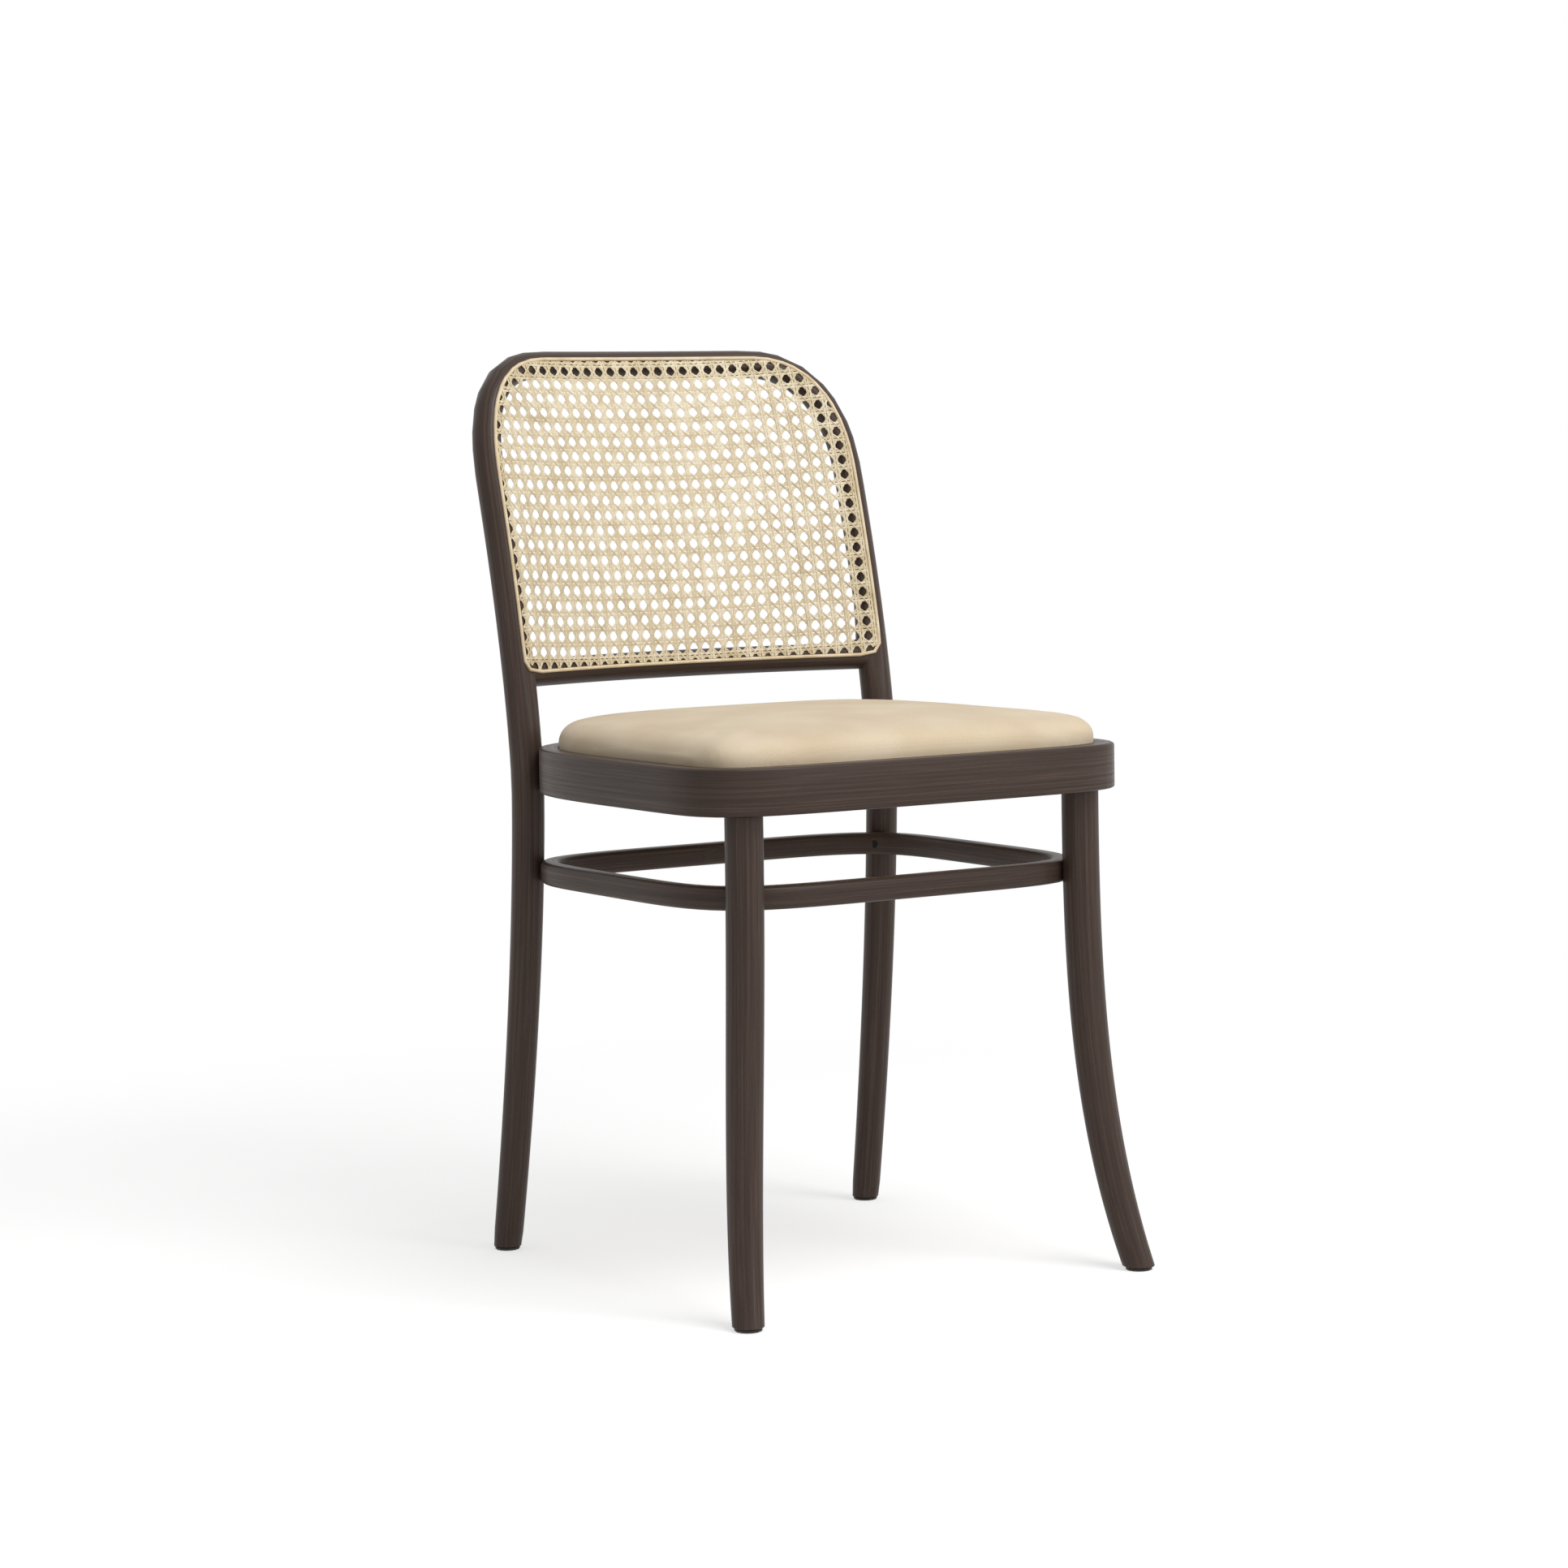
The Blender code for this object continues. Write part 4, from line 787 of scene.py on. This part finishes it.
for order, label in ((1, "rising"), (-1, "falling")):
    lifts = [order * lift for lift in wave]
    first = FIRST_COLUMN - (ROWS + 1 if order > 0 else 0) * PITCH_ACROSS
    start = (first, FIRST_ROW - 0.5 * PITCH_UP, order * wave[0])
    way = (order * PITCH_ACROSS, PITCH_UP)
    width = RISING_WIDTH if order > 0 else FALLING_WIDTH
    piece = strand(label, width, start, -45 * order, stations(way, slant_places, lifts))
    repeat(piece, ROWS, (way[0], way[1], 0), True)
    repeat(piece, COLUMNS + ROWS + 1, (PITCH_ACROSS, 0, 0))
    families[label].append(piece)
print("wove", {name: sum(len(p.data.vertices) for p in made) for name, made in families.items()}, "points")

# %% [markdown]
# ## Cutting the web to the frame
# The web is still flat. Hand and loom never keep it perfectly square, so it wanders a few
# tenths of a millimetre, and its rows sag 6 mm in the middle, where the back is hollow. It is
# then cut with the frame's rounded outline, one straight cut after another, so that every
# strand ends under the reed, and laid on the back's hollow surface.

# %% Cut and lay the web
WEB_MIDDLE_ACROSS, WEB_MIDDLE_UP = -0.00440, 0.68368
HALF_WEB = 0.00075
WEB_FORWARD = FLAT_FRONT + GAP + HALF_WEB
DRIFT, DRIFT_SCALE, RIPPLE, RIPPLE_SCALE = 0.00035, 38, 0.00025, 150
CUT_INSIDE, CUTS = 0.0012, 64
# without a seed of its own the noise takes one from the clock, and the web differs each time
noise.seed_set(1)
# how far along the bow each place across lies
spread = np.linspace(-0.25, 0.25, 1001)
run = np.sqrt(1 + (2 * BACK_BOW * spread / BACK_HALF_WIDTH**2) ** 2)
arc = np.concatenate([[0.0], np.cumsum((run[1:] + run[:-1]) / 2 * np.diff(spread))])
arc -= np.interp(0.0, spread, arc)


def bead_outline(inside, count=260):
    """The reed's closed line on the flat, or a line some way inside it."""
    bottom = RAIL_AXIS - BEAD_DROP
    angle = np.linspace(-math.pi / 2, 0, 60)
    corner = np.stack([
        BACK_HALF_WIDTH - BEAD_CORNER + BEAD_CORNER * np.cos(angle),
        bottom + BEAD_CORNER + BEAD_CORNER * np.sin(angle),
    ], axis=1)
    foot = np.linspace((0.0, bottom), corner[0], 60)[:-1]
    half_loop = np.concatenate([foot, corner, hoop_corner(BEAD_LIFT)])
    return inset(evenly(mirrored(half_loop, closed=True), count, closed=True), inside)


def wander(points):
    """Lets the strands drift over about 26 mm and ripple over about 7 mm."""
    moved = points.copy()
    for row in moved:
        drift = noise.noise_vector(Vector((row[0] * DRIFT_SCALE, row[1] * DRIFT_SCALE, 3.7)))
        ripple = noise.noise_vector(Vector((row[0] * RIPPLE_SCALE, row[1] * RIPPLE_SCALE, 9.1)))
        row[0] += DRIFT * drift.x + RIPPLE * ripple.x
        row[1] += DRIFT * drift.y + RIPPLE * ripple.y
    return moved


def stretched(points):
    """Where the stretched web lies: how far along the bow, and how high up the back.

    Columns lean and fan out, rows sag in the middle and creep. Each term is a column's or a
    row's number, to a power, times metres, and follows the holes in the photograph.
    """
    c, r = points[:, 0] / PITCH_ACROSS, points[:, 1] / PITCH_UP
    lean = -0.000184 * r - 0.0000511 * r**2 - 0.00000107 * r**3
    fan = c * (0.0000197 * r + 0.00000242 * r**2 - 0.00000065 * c * r - 0.00000042 * c**2)
    sag = 0.0000283 * c**2 + 0.0000035 * c * r + 0.00000039 * c**2 * r
    creep = -0.0000195 * r**2 - 0.0000017 * r**3
    return WEB_MIDDLE_ACROSS + points[:, 0] + lean + fan, WEB_MIDDLE_UP + points[:, 1] + sag + creep


def strand_tone(points, label):
    """A steady number between 0 and 1 for each strand, from its place in the web."""
    column = (points[:, 0] - FIRST_COLUMN) / PITCH_ACROSS
    row = (points[:, 1] - FIRST_ROW) / PITCH_UP
    index = {
        "uprights": np.rint(column) + 0.4 * np.sign(column - np.rint(column)),
        "crossways": np.rint(row) + 0.4 * np.sign(row - np.rint(row)),
        "rising": np.rint(column - row + 0.5),
        "falling": np.rint(column + row + 0.5),
    }[label]
    return (np.sin(index * 12.9898 + len(label)) * 43758.5453) % 1.0


def cut_to_frame(web):
    """Cuts away everything outside a rounded outline, with one cut for each of its sides."""
    outline = bead_outline(CUT_INSIDE, CUTS)
    only(web)
    bpy.ops.object.mode_set(mode="EDIT")
    for first, second in zip(outline, np.roll(outline, -1, axis=0)):
        outward = (second[1] - first[1], first[0] - second[0], 0.0)
        bpy.ops.mesh.select_all(action="SELECT")
        bpy.ops.mesh.bisect(
            plane_co=(*first, 0.0), plane_no=outward, use_fill=True, clear_outer=True, threshold=0.000001
        )
    bpy.ops.object.mode_set(mode="OBJECT")


finishes = {"uprights": cane_up, "crossways": cane_cross, "rising": cane_slant, "falling": cane_slant}
for label, made in families.items():
    only(made[0])
    for piece in made:
        piece.select_set(True)
    if len(made) > 1:
        bpy.ops.object.join()
    web = made[0]
    web.name = web.data.name = f"cane_{label}"
    points = coordinates(web)
    remember(web, "strand", strand_tone(points, label))
    points = wander(points)
    along, up = stretched(points)
    place(web, np.stack([np.interp(along, arc, spread), up, points[:, 2]], axis=1))
    cut_to_frame(web)
    points = coordinates(web)
    place(web, on_back(points[:, 0], points[:, 1], WEB_FORWARD + points[:, 2]))
    hand_in(close_up(web, 70), "cane", finishes[label], "cane_panel")

# %% [markdown]
# ## The reed spline
# A round reed is glued into a groove over the edge of the web and hides the cut ends. It is
# one more bent rod, closed on itself.

# %% Reed spline
loop = bead_outline(0.0)
bead_line = on_back(loop[:, 0], loop[:, 1], BEAD_AXIS)
bead, ring = bent_rod(
    "cane_bead_reed", bead_line, np.full(len(bead_line), BEAD_RADIUS), sides=12, closed=True
)
hand_in(close_up(bead, 80), "reed", reed, "cane_bead")

# %% [markdown]
# ## The padded seat
# The seat is a plywood board with foam, and a cover pulled over both and turned in below.
# Its form is drawn level by level: an upright side, a soft shoulder and a low dome. A voxel
# remesh gives it even cells, and a cloth simulation with air pressure then fills it like
# foam under a tight cover, while the part inside the ring is held fast.

# %% Draw the seat
CROWN, SIDE_HEIGHT, SHOULDER, DOME, DOME_POWER = 0.0350, 0.0070, 0.0260, 0.0085, 2.4
COVER_CLEARANCE, COVER_THICKNESS, HEM = 0.0012, 0.0012, 0.0200
SIDE_BULGE, SHOULDER_BULGE, BULGE_HEIGHT = 0.0010, 0.0008, 0.55
CELL = 0.005
cover_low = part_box("seat_cover")[0].z
cover_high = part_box("seat_cover")[1].z


side_line = inset(ring_line, REBATE_INSET + COVER_CLEARANCE)
middle = side_line.mean(axis=0)
levels = [(side_line, cover_low), (side_line, RING_TOP)]
levels.append((inset(side_line, -SIDE_BULGE), RING_TOP + SIDE_HEIGHT * BULGE_HEIGHT))
shoulder_foot, shoulder_top = RING_TOP + SIDE_HEIGHT, RING_TOP + CROWN - DOME
for turn in np.radians(np.linspace(0, 90, 9)):
    outline = inset(side_line, -SHOULDER_BULGE + SHOULDER * (1 - math.cos(turn)))
    levels.append((outline, shoulder_foot + (shoulder_top - shoulder_foot) * math.sin(turn)))
shoulder_line = levels[-1][0]
for share in np.linspace(0.93, 0.07, 11):
    outline = middle + (shoulder_line - middle) * share
    levels.append((outline, shoulder_top + DOME * (1 - share**DOME_POWER)))
cover = straight_stock("seat_cover_padded", len(ring_line), len(levels), True)
stock = coordinates(cover)
level_index, corner = ring_and_corner(stock, len(levels), len(ring_line))
outlines, heights = (np.array(column) for column in zip(*levels))
place(cover, np.column_stack([outlines[level_index, corner], heights[level_index]]))
close_up(cover)
cover.data.remesh_voxel_size = CELL
cover.data.use_remesh_preserve_volume = True
bpy.ops.object.voxel_remesh()
print("the seat's mesh has", len(cover.data.vertices), "points")

# %% [markdown]
# ## Filling the seat
# Pressure pushes every face outwards, the tight cover holds it back, and the two settle in
# about twenty frames. A cap on the movement keeps the seat to its measured form.

# %% Fill the seat
HELD, FARTHEST = RING_TOP + 0.0020, 0.0010
drawn = coordinates(cover)
held = cover.vertex_groups.new(name="held in the ring")
held.add([int(i) for i in np.nonzero(drawn[:, 2] < HELD)[0]], 1.0, "REPLACE")
only(cover)
cloth = cover.modifiers.new("fill", "CLOTH")
cloth.settings.vertex_group_mass = held.name
cloth.settings.use_pressure = True
cloth.settings.uniform_pressure_force = 4.0
cloth.settings.tension_stiffness = cloth.settings.compression_stiffness = 40
cloth.settings.shear_stiffness = 20
cloth.settings.bending_stiffness = 6
cloth.settings.effector_weights.gravity = 0.0
for number in range(1, 21):
    bpy.context.scene.frame_set(number)
bpy.ops.object.modifier_apply(modifier=cloth.name)
filled = coordinates(cover)
move = filled - drawn
far = np.linalg.norm(move, axis=1)
capped = np.minimum(far, FARTHEST) / np.maximum(far, 1e-9)
place(cover, drawn + move * capped[:, None])
print("pressure moved the cover by up to", round(1000 * far.max(), 2), "mm, capped at",
      1000 * FARTHEST)
points = coordinates(cover)
top = points[:, 2] > HELD
points[top, 2] = HELD + (points[top, 2] - HELD) * (cover_high - HELD) / (points[:, 2].max() - HELD)
points[:, 2] = np.maximum(points[:, 2], cover_low)
place(cover, points)
only(cover)
smoother = cover.modifiers.new("even out", "LAPLACIANSMOOTH")
smoother.iterations = 2
smoother.lambda_factor = 0.2
bpy.ops.object.modifier_apply(modifier=smoother.name)

# %% [markdown]
# ## Opening the underside
# Below, the cover is only turned in over the edge of the board. The middle of the underside
# is taken out, and a Solidify modifier gives the cover its own thickness inwards, so that the
# board shows there as it does on the real seat.

# %% Open the underside
UNDERSIDE = 0.0015
hem_line = inset(side_line, HEM)


def inside(outline, points):
    """Which points lie inside a closed outline, by the edges that a line from each crosses."""
    found = np.zeros(len(points), bool)
    for a, b in zip(outline, np.roll(outline, -1, axis=0)):
        spans = (a[0] > points[:, 0]) != (b[0] > points[:, 0])
        level = a[1] + (points[:, 0] - a[0]) * (b[1] - a[1]) / (b[0] - a[0] + 1e-12)
        found ^= spans & (points[:, 1] < level)
    return found


only(cover)
bpy.ops.object.mode_set(mode="EDIT")
bpy.ops.mesh.select_mode(type="FACE")
bpy.ops.mesh.select_all(action="DESELECT")
mesh = bmesh.from_edit_mesh(cover.data)
centres = np.array([face.calc_center_median()[:] for face in mesh.faces])
chosen = inside(hem_line, centres[:, :2]) & (centres[:, 2] < cover_low + UNDERSIDE)
for face, pick in zip(mesh.faces, chosen):
    face.select = bool(pick) and face.normal.z < -0.5
bmesh.update_edit_mesh(cover.data)
bpy.ops.mesh.delete(type="FACE")
bpy.ops.object.mode_set(mode="OBJECT")
rim = cover.modifiers.new("one subdivision", "SUBSURF")
rim.levels = rim.render_levels = 1
bpy.ops.object.modifier_apply(modifier=rim.name)
wall = cover.modifiers.new("thickness", "SOLIDIFY")
wall.thickness, wall.offset = COVER_THICKNESS, -1.0
bpy.ops.object.modifier_apply(modifier=wall.name)
bpy.ops.object.shade_smooth_by_angle(angle=math.radians(60))
print("the cover spans", [round(1000 * float(v), 1) for v in np.ptp(coordinates(cover), axis=0)], "mm")

# %% [markdown]
# ## Cover cloth
# The cover is a plain, tightly woven upholstery cloth in beige. Its threads are about 0.5 mm
# apart, too fine to count at this distance, so they only break up the light, and a soft
# sheen comes from the fibre ends.

# %% Cover material


def upholstery_cloth(name):
    material, tree = new_material(name)
    ours = add_node(tree, "ShaderNodeTexCoord").outputs["Object"]
    threads = []
    # two sets of threads, drawn 1.1 mm apart so that they show in a close view
    for way in ("X", "Y"):
        wave_node = add_node(
            tree, "ShaderNodeTexWave",
            {"wave_type": "BANDS", "bands_direction": way, "Scale": 290.0, "Distortion": 0.6,
             "Detail": 1.0, "Detail Scale": 2.0},
            {"Vector": ours},
        )
        threads.append(wave_node.outputs["Fac"])
    weave = add_node(tree, "ShaderNodeMath", {"operation": "MULTIPLY"}, {0: threads[0], 1: threads[1]})
    slub = add_node(tree, "ShaderNodeTexNoise", {"Scale": 900.0, "Detail": 2.0}, {"Vector": ours})
    cloud = add_node(tree, "ShaderNodeTexNoise", {"Scale": 14.0, "Detail": 2.0}, {"Vector": ours})
    fine = add_node(
        tree, "ShaderNodeMath", {"operation": "MULTIPLY_ADD", 1: 0.5},
        {0: slub.outputs["Fac"], 2: cloud.outputs["Fac"]},
    )
    tone = add_node(
        tree, "ShaderNodeMath", {"operation": "MULTIPLY_ADD", 1: 0.16},
        {0: weave.outputs["Value"], 2: fine.outputs["Value"]},
    )
    colour = colour_steps(
        tree, tone.outputs["Value"], [(0.45, "CAB698"), (0.75, "D3C0A3"), (1.0, "DACAB0")]
    )
    relief = add_node(
        tree, "ShaderNodeBump", {"Strength": 0.25, "Distance": 0.0001}, {"Height": fine.outputs["Value"]}
    )
    finish_surface(
        tree,
        {"Roughness": 0.78, "Specular IOR Level": 0.3, "Sheen Weight": 0.18, "Sheen Roughness": 0.5},
        {"Base Color": colour, "Normal": relief.outputs["Normal"]},
    )
    return material


cloth_finish = upholstery_cloth("woven upholstery cloth, beige")
hand_in(cover, "beige_cover", cloth_finish, "seat_cover", "seat_foam")

# %% [markdown]
# ## Plain timber, plywood, steel and plastic
# The hidden parts show from below. The corner blocks and dowels are unstained beech, the
# board is birch plywood, the screws are zinc-plated, and the glides are moulded plastic.

# %% Finishes of the other parts


def raw_timber(name, hexes, stretch, rough):
    """Timber without stain: fine lines of growth along its length."""
    material, tree = new_material(name)
    ours = add_node(tree, "ShaderNodeTexCoord").outputs["Object"]
    drawn_out = add_node(tree, "ShaderNodeMapping", {"Scale": stretch}, {"Vector": ours})
    lines = add_node(
        tree, "ShaderNodeTexNoise", {"Scale": 1.0, "Detail": 4.0, "Roughness": 0.6},
        {"Vector": drawn_out.outputs["Vector"]},
    )
    colour = colour_steps(tree, lines.outputs["Fac"], list(zip((0.3, 0.55, 0.75), hexes)))
    relief = add_node(
        tree, "ShaderNodeBump", {"Strength": 0.3, "Distance": 0.0001}, {"Height": lines.outputs["Fac"]}
    )
    finish_surface(
        tree, {"Roughness": rough, "IOR": 1.5}, {"Base Color": colour, "Normal": relief.outputs["Normal"]}
    )
    return material


def zinc_plate(name, hexes):
    """Zinc over turned steel, bright or black, with faint tarnish."""
    material, tree = new_material(name)
    ours = add_node(tree, "ShaderNodeTexCoord").outputs["Object"]
    cloud = add_node(
        tree, "ShaderNodeTexNoise", {"Scale": 400.0, "Detail": 3.0}, {"Vector": ours}
    )
    colour = colour_steps(tree, cloud.outputs["Fac"], list(zip((0.3, 0.7), hexes)))
    rough = add_node(
        tree, "ShaderNodeMapRange", {"To Min": 0.25, "To Max": 0.42}, {"Value": cloud.outputs["Fac"]}
    )
    finish_surface(tree, {"Metallic": 1.0}, {"Base Color": colour, "Roughness": rough.outputs["Result"]})
    return material


def moulded_plastic(name):
    """Moulded polypropylene: near black, with the fine grit of the mould."""
    material, tree = new_material(name)
    ours = add_node(tree, "ShaderNodeTexCoord").outputs["Object"]
    grit = add_node(
        tree, "ShaderNodeTexNoise", {"Scale": 2500.0, "Detail": 2.0}, {"Vector": ours}
    )
    colour = colour_steps(tree, grit.outputs["Fac"], [(0.3, "191715"), (0.7, "24211F")])
    relief = add_node(
        tree, "ShaderNodeBump", {"Strength": 0.2, "Distance": 0.00005}, {"Height": grit.outputs["Fac"]}
    )
    finish_surface(
        tree, {"Roughness": 0.5, "IOR": 1.49}, {"Base Color": colour, "Normal": relief.outputs["Normal"]}
    )
    return material


beech_hexes = ("B8935F", "C9A877", "D6BA8D")
finish_of_slot = {
    "stained_beech": beech,
    "raw_beech": raw_timber("planed beech", beech_hexes, (60, 900, 900), 0.62),
    "birch_plywood": raw_timber("birch plywood", ("BF9F70", "CFB387", "DAC39C"), (14, 420, 900), 0.7),
    "cane": cane_up,
    "reed": reed,
    "beige_cover": cloth_finish,
    "foam": raw_timber("upholstery foam", ("DDD2B2", "E6DCC0", "EEE6CF"), (900, 900, 900), 0.95),
    "zinc_plated_steel": zinc_plate("zinc-plated steel, bright", ("A6A9A8", "C4C7C8")),
    "dark_plastic": moulded_plastic("moulded plastic, dark"),
}
dark_zinc = zinc_plate("zinc-plated steel, black passivated", ("1B1A1A", "2B2A29"))
slot_of_node = {row["node"]: row["material_slot"] for row in frame["record"]["subparts"]}
for name, node in frame["nodes"].items():
    node.data.materials.clear()
    # the photograph shows no bright screw heads inside the stretcher, so those are the dark kind
    dark = name.startswith("stretcher_screw")
    node.data.materials.append(dark_zinc if dark else finish_of_slot[slot_of_node[name]])
print(len(frame["nodes"]), "solids have a finish")

# %% [markdown]
# ## Floor and light
# The photograph is a cut-out look: a white room, a very soft lamp high on the right, and only
# faint shadows on the floor. The floor keeps the chair's shadow but adds some white of its own
# for the camera, so the shadow stays as pale as it is there.

# %% Floor and background


def seen_directly(tree):
    """One for light that the camera sees straight, mirrored or through something, else nought."""
    ray = add_node(tree, "ShaderNodeLightPath").outputs
    either = add_node(
        tree, "ShaderNodeMath", {"operation": "MAXIMUM"}, {0: ray["Is Camera Ray"], 1: ray["Is Glossy Ray"]}
    )
    return add_node(
        tree, "ShaderNodeMath", {"operation": "MAXIMUM"},
        {0: either.outputs["Value"], 1: ray["Is Transmission Ray"]},
    ).outputs["Value"]


bpy.ops.object.select_all(action="DESELECT")
bpy.ops.mesh.primitive_plane_add(size=40.0)
floor = bpy.context.object
floor.name = "floor"
floor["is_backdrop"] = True
white_floor, tree = new_material("white floor")
room = add_node(tree, "ShaderNodeBsdfDiffuse", {"Color": (0.80, 0.80, 0.80, 1.0)})
shaded = add_node(tree, "ShaderNodeBsdfDiffuse", {"Color": (0.52, 0.52, 0.52, 1.0)})
own_white = add_node(tree, "ShaderNodeEmission", {"Color": (1.0, 1.0, 1.0, 1.0), "Strength": 0.61})
near_chair = add_node(
    tree, "ShaderNodeAddShader", links={0: shaded.outputs["BSDF"], 1: own_white.outputs["Emission"]}
)
pure_white = add_node(tree, "ShaderNodeEmission", {"Color": (1.0, 1.0, 1.0, 1.0), "Strength": 1.0})
# from 0.9 to 1.5 m away the floor turns into the plain white of the room
spot = add_node(tree, "ShaderNodeTexCoord")
distance = add_node(tree, "ShaderNodeVectorMath", {"operation": "LENGTH"}, {0: spot.outputs["Object"]})
away = add_node(
    tree, "ShaderNodeMapRange", {"interpolation_type": "SMOOTHSTEP", "From Min": 0.9, "From Max": 1.5},
    {"Value": distance.outputs["Value"]},
)
shown = add_node(
    tree, "ShaderNodeMixShader",
    links={
        "Fac": away.outputs["Result"],
        1: near_chair.outputs["Shader"], 2: pure_white.outputs["Emission"],
    },
)
chosen_floor = add_node(
    tree, "ShaderNodeMixShader",
    links={"Fac": seen_directly(tree), 1: room.outputs["BSDF"], 2: shown.outputs["Shader"]},
)
add_node(tree, "ShaderNodeOutputMaterial", links={"Surface": chosen_floor.outputs["Shader"]})
floor.data.materials.append(white_floor)

world = bpy.data.worlds.new("white room")
world.use_nodes = True
bpy.context.scene.world = world
tree = world.node_tree
tree.nodes.clear()
strength = add_node(
    tree, "ShaderNodeMapRange", {"To Min": 0.45, "To Max": 1.0}, {"Value": seen_directly(tree)}
)
room_light = add_node(
    tree, "ShaderNodeBackground", {"Color": (1.0, 1.0, 1.0, 1.0)}, {"Strength": strength.outputs["Result"]}
)
add_node(tree, "ShaderNodeOutputWorld", links={"Surface": room_light.outputs["Background"]})

# %% [markdown]
# ## Lamps
# A large soft box above the front right is the main light. Its size makes the edges of the
# shadows soft. A weaker one near the camera's height fills the front of the seat and the legs.

# %% Lamps


def soft_lamp(name, spot, aim, size, watts):
    """A square soft box that points at a spot."""
    lamp = bpy.data.objects.new(name, bpy.data.lights.new(name, "AREA"))
    lamp.data.size, lamp.data.energy = size, watts
    lamp.location = spot
    lamp.rotation_euler = (Vector(aim) - Vector(spot)).to_track_quat("-Z", "Y").to_euler()
    bpy.context.scene.collection.objects.link(lamp)


seat_middle = (0.0, 0.0, 0.45)
soft_lamp("key", (0.4, -1.6, 3.0), seat_middle, 1.6, 54)
soft_lamp("front fill", (1.1, -3.0, 1.5), seat_middle, 1.2, 18)
print("two soft lamps and a white room")

# %% [markdown]
# ## The dressed chair's size
# The dressed chair has to measure what the solids measured, and its box is measured here over every shown
# piece.

# %% Size after dressing
low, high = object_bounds()
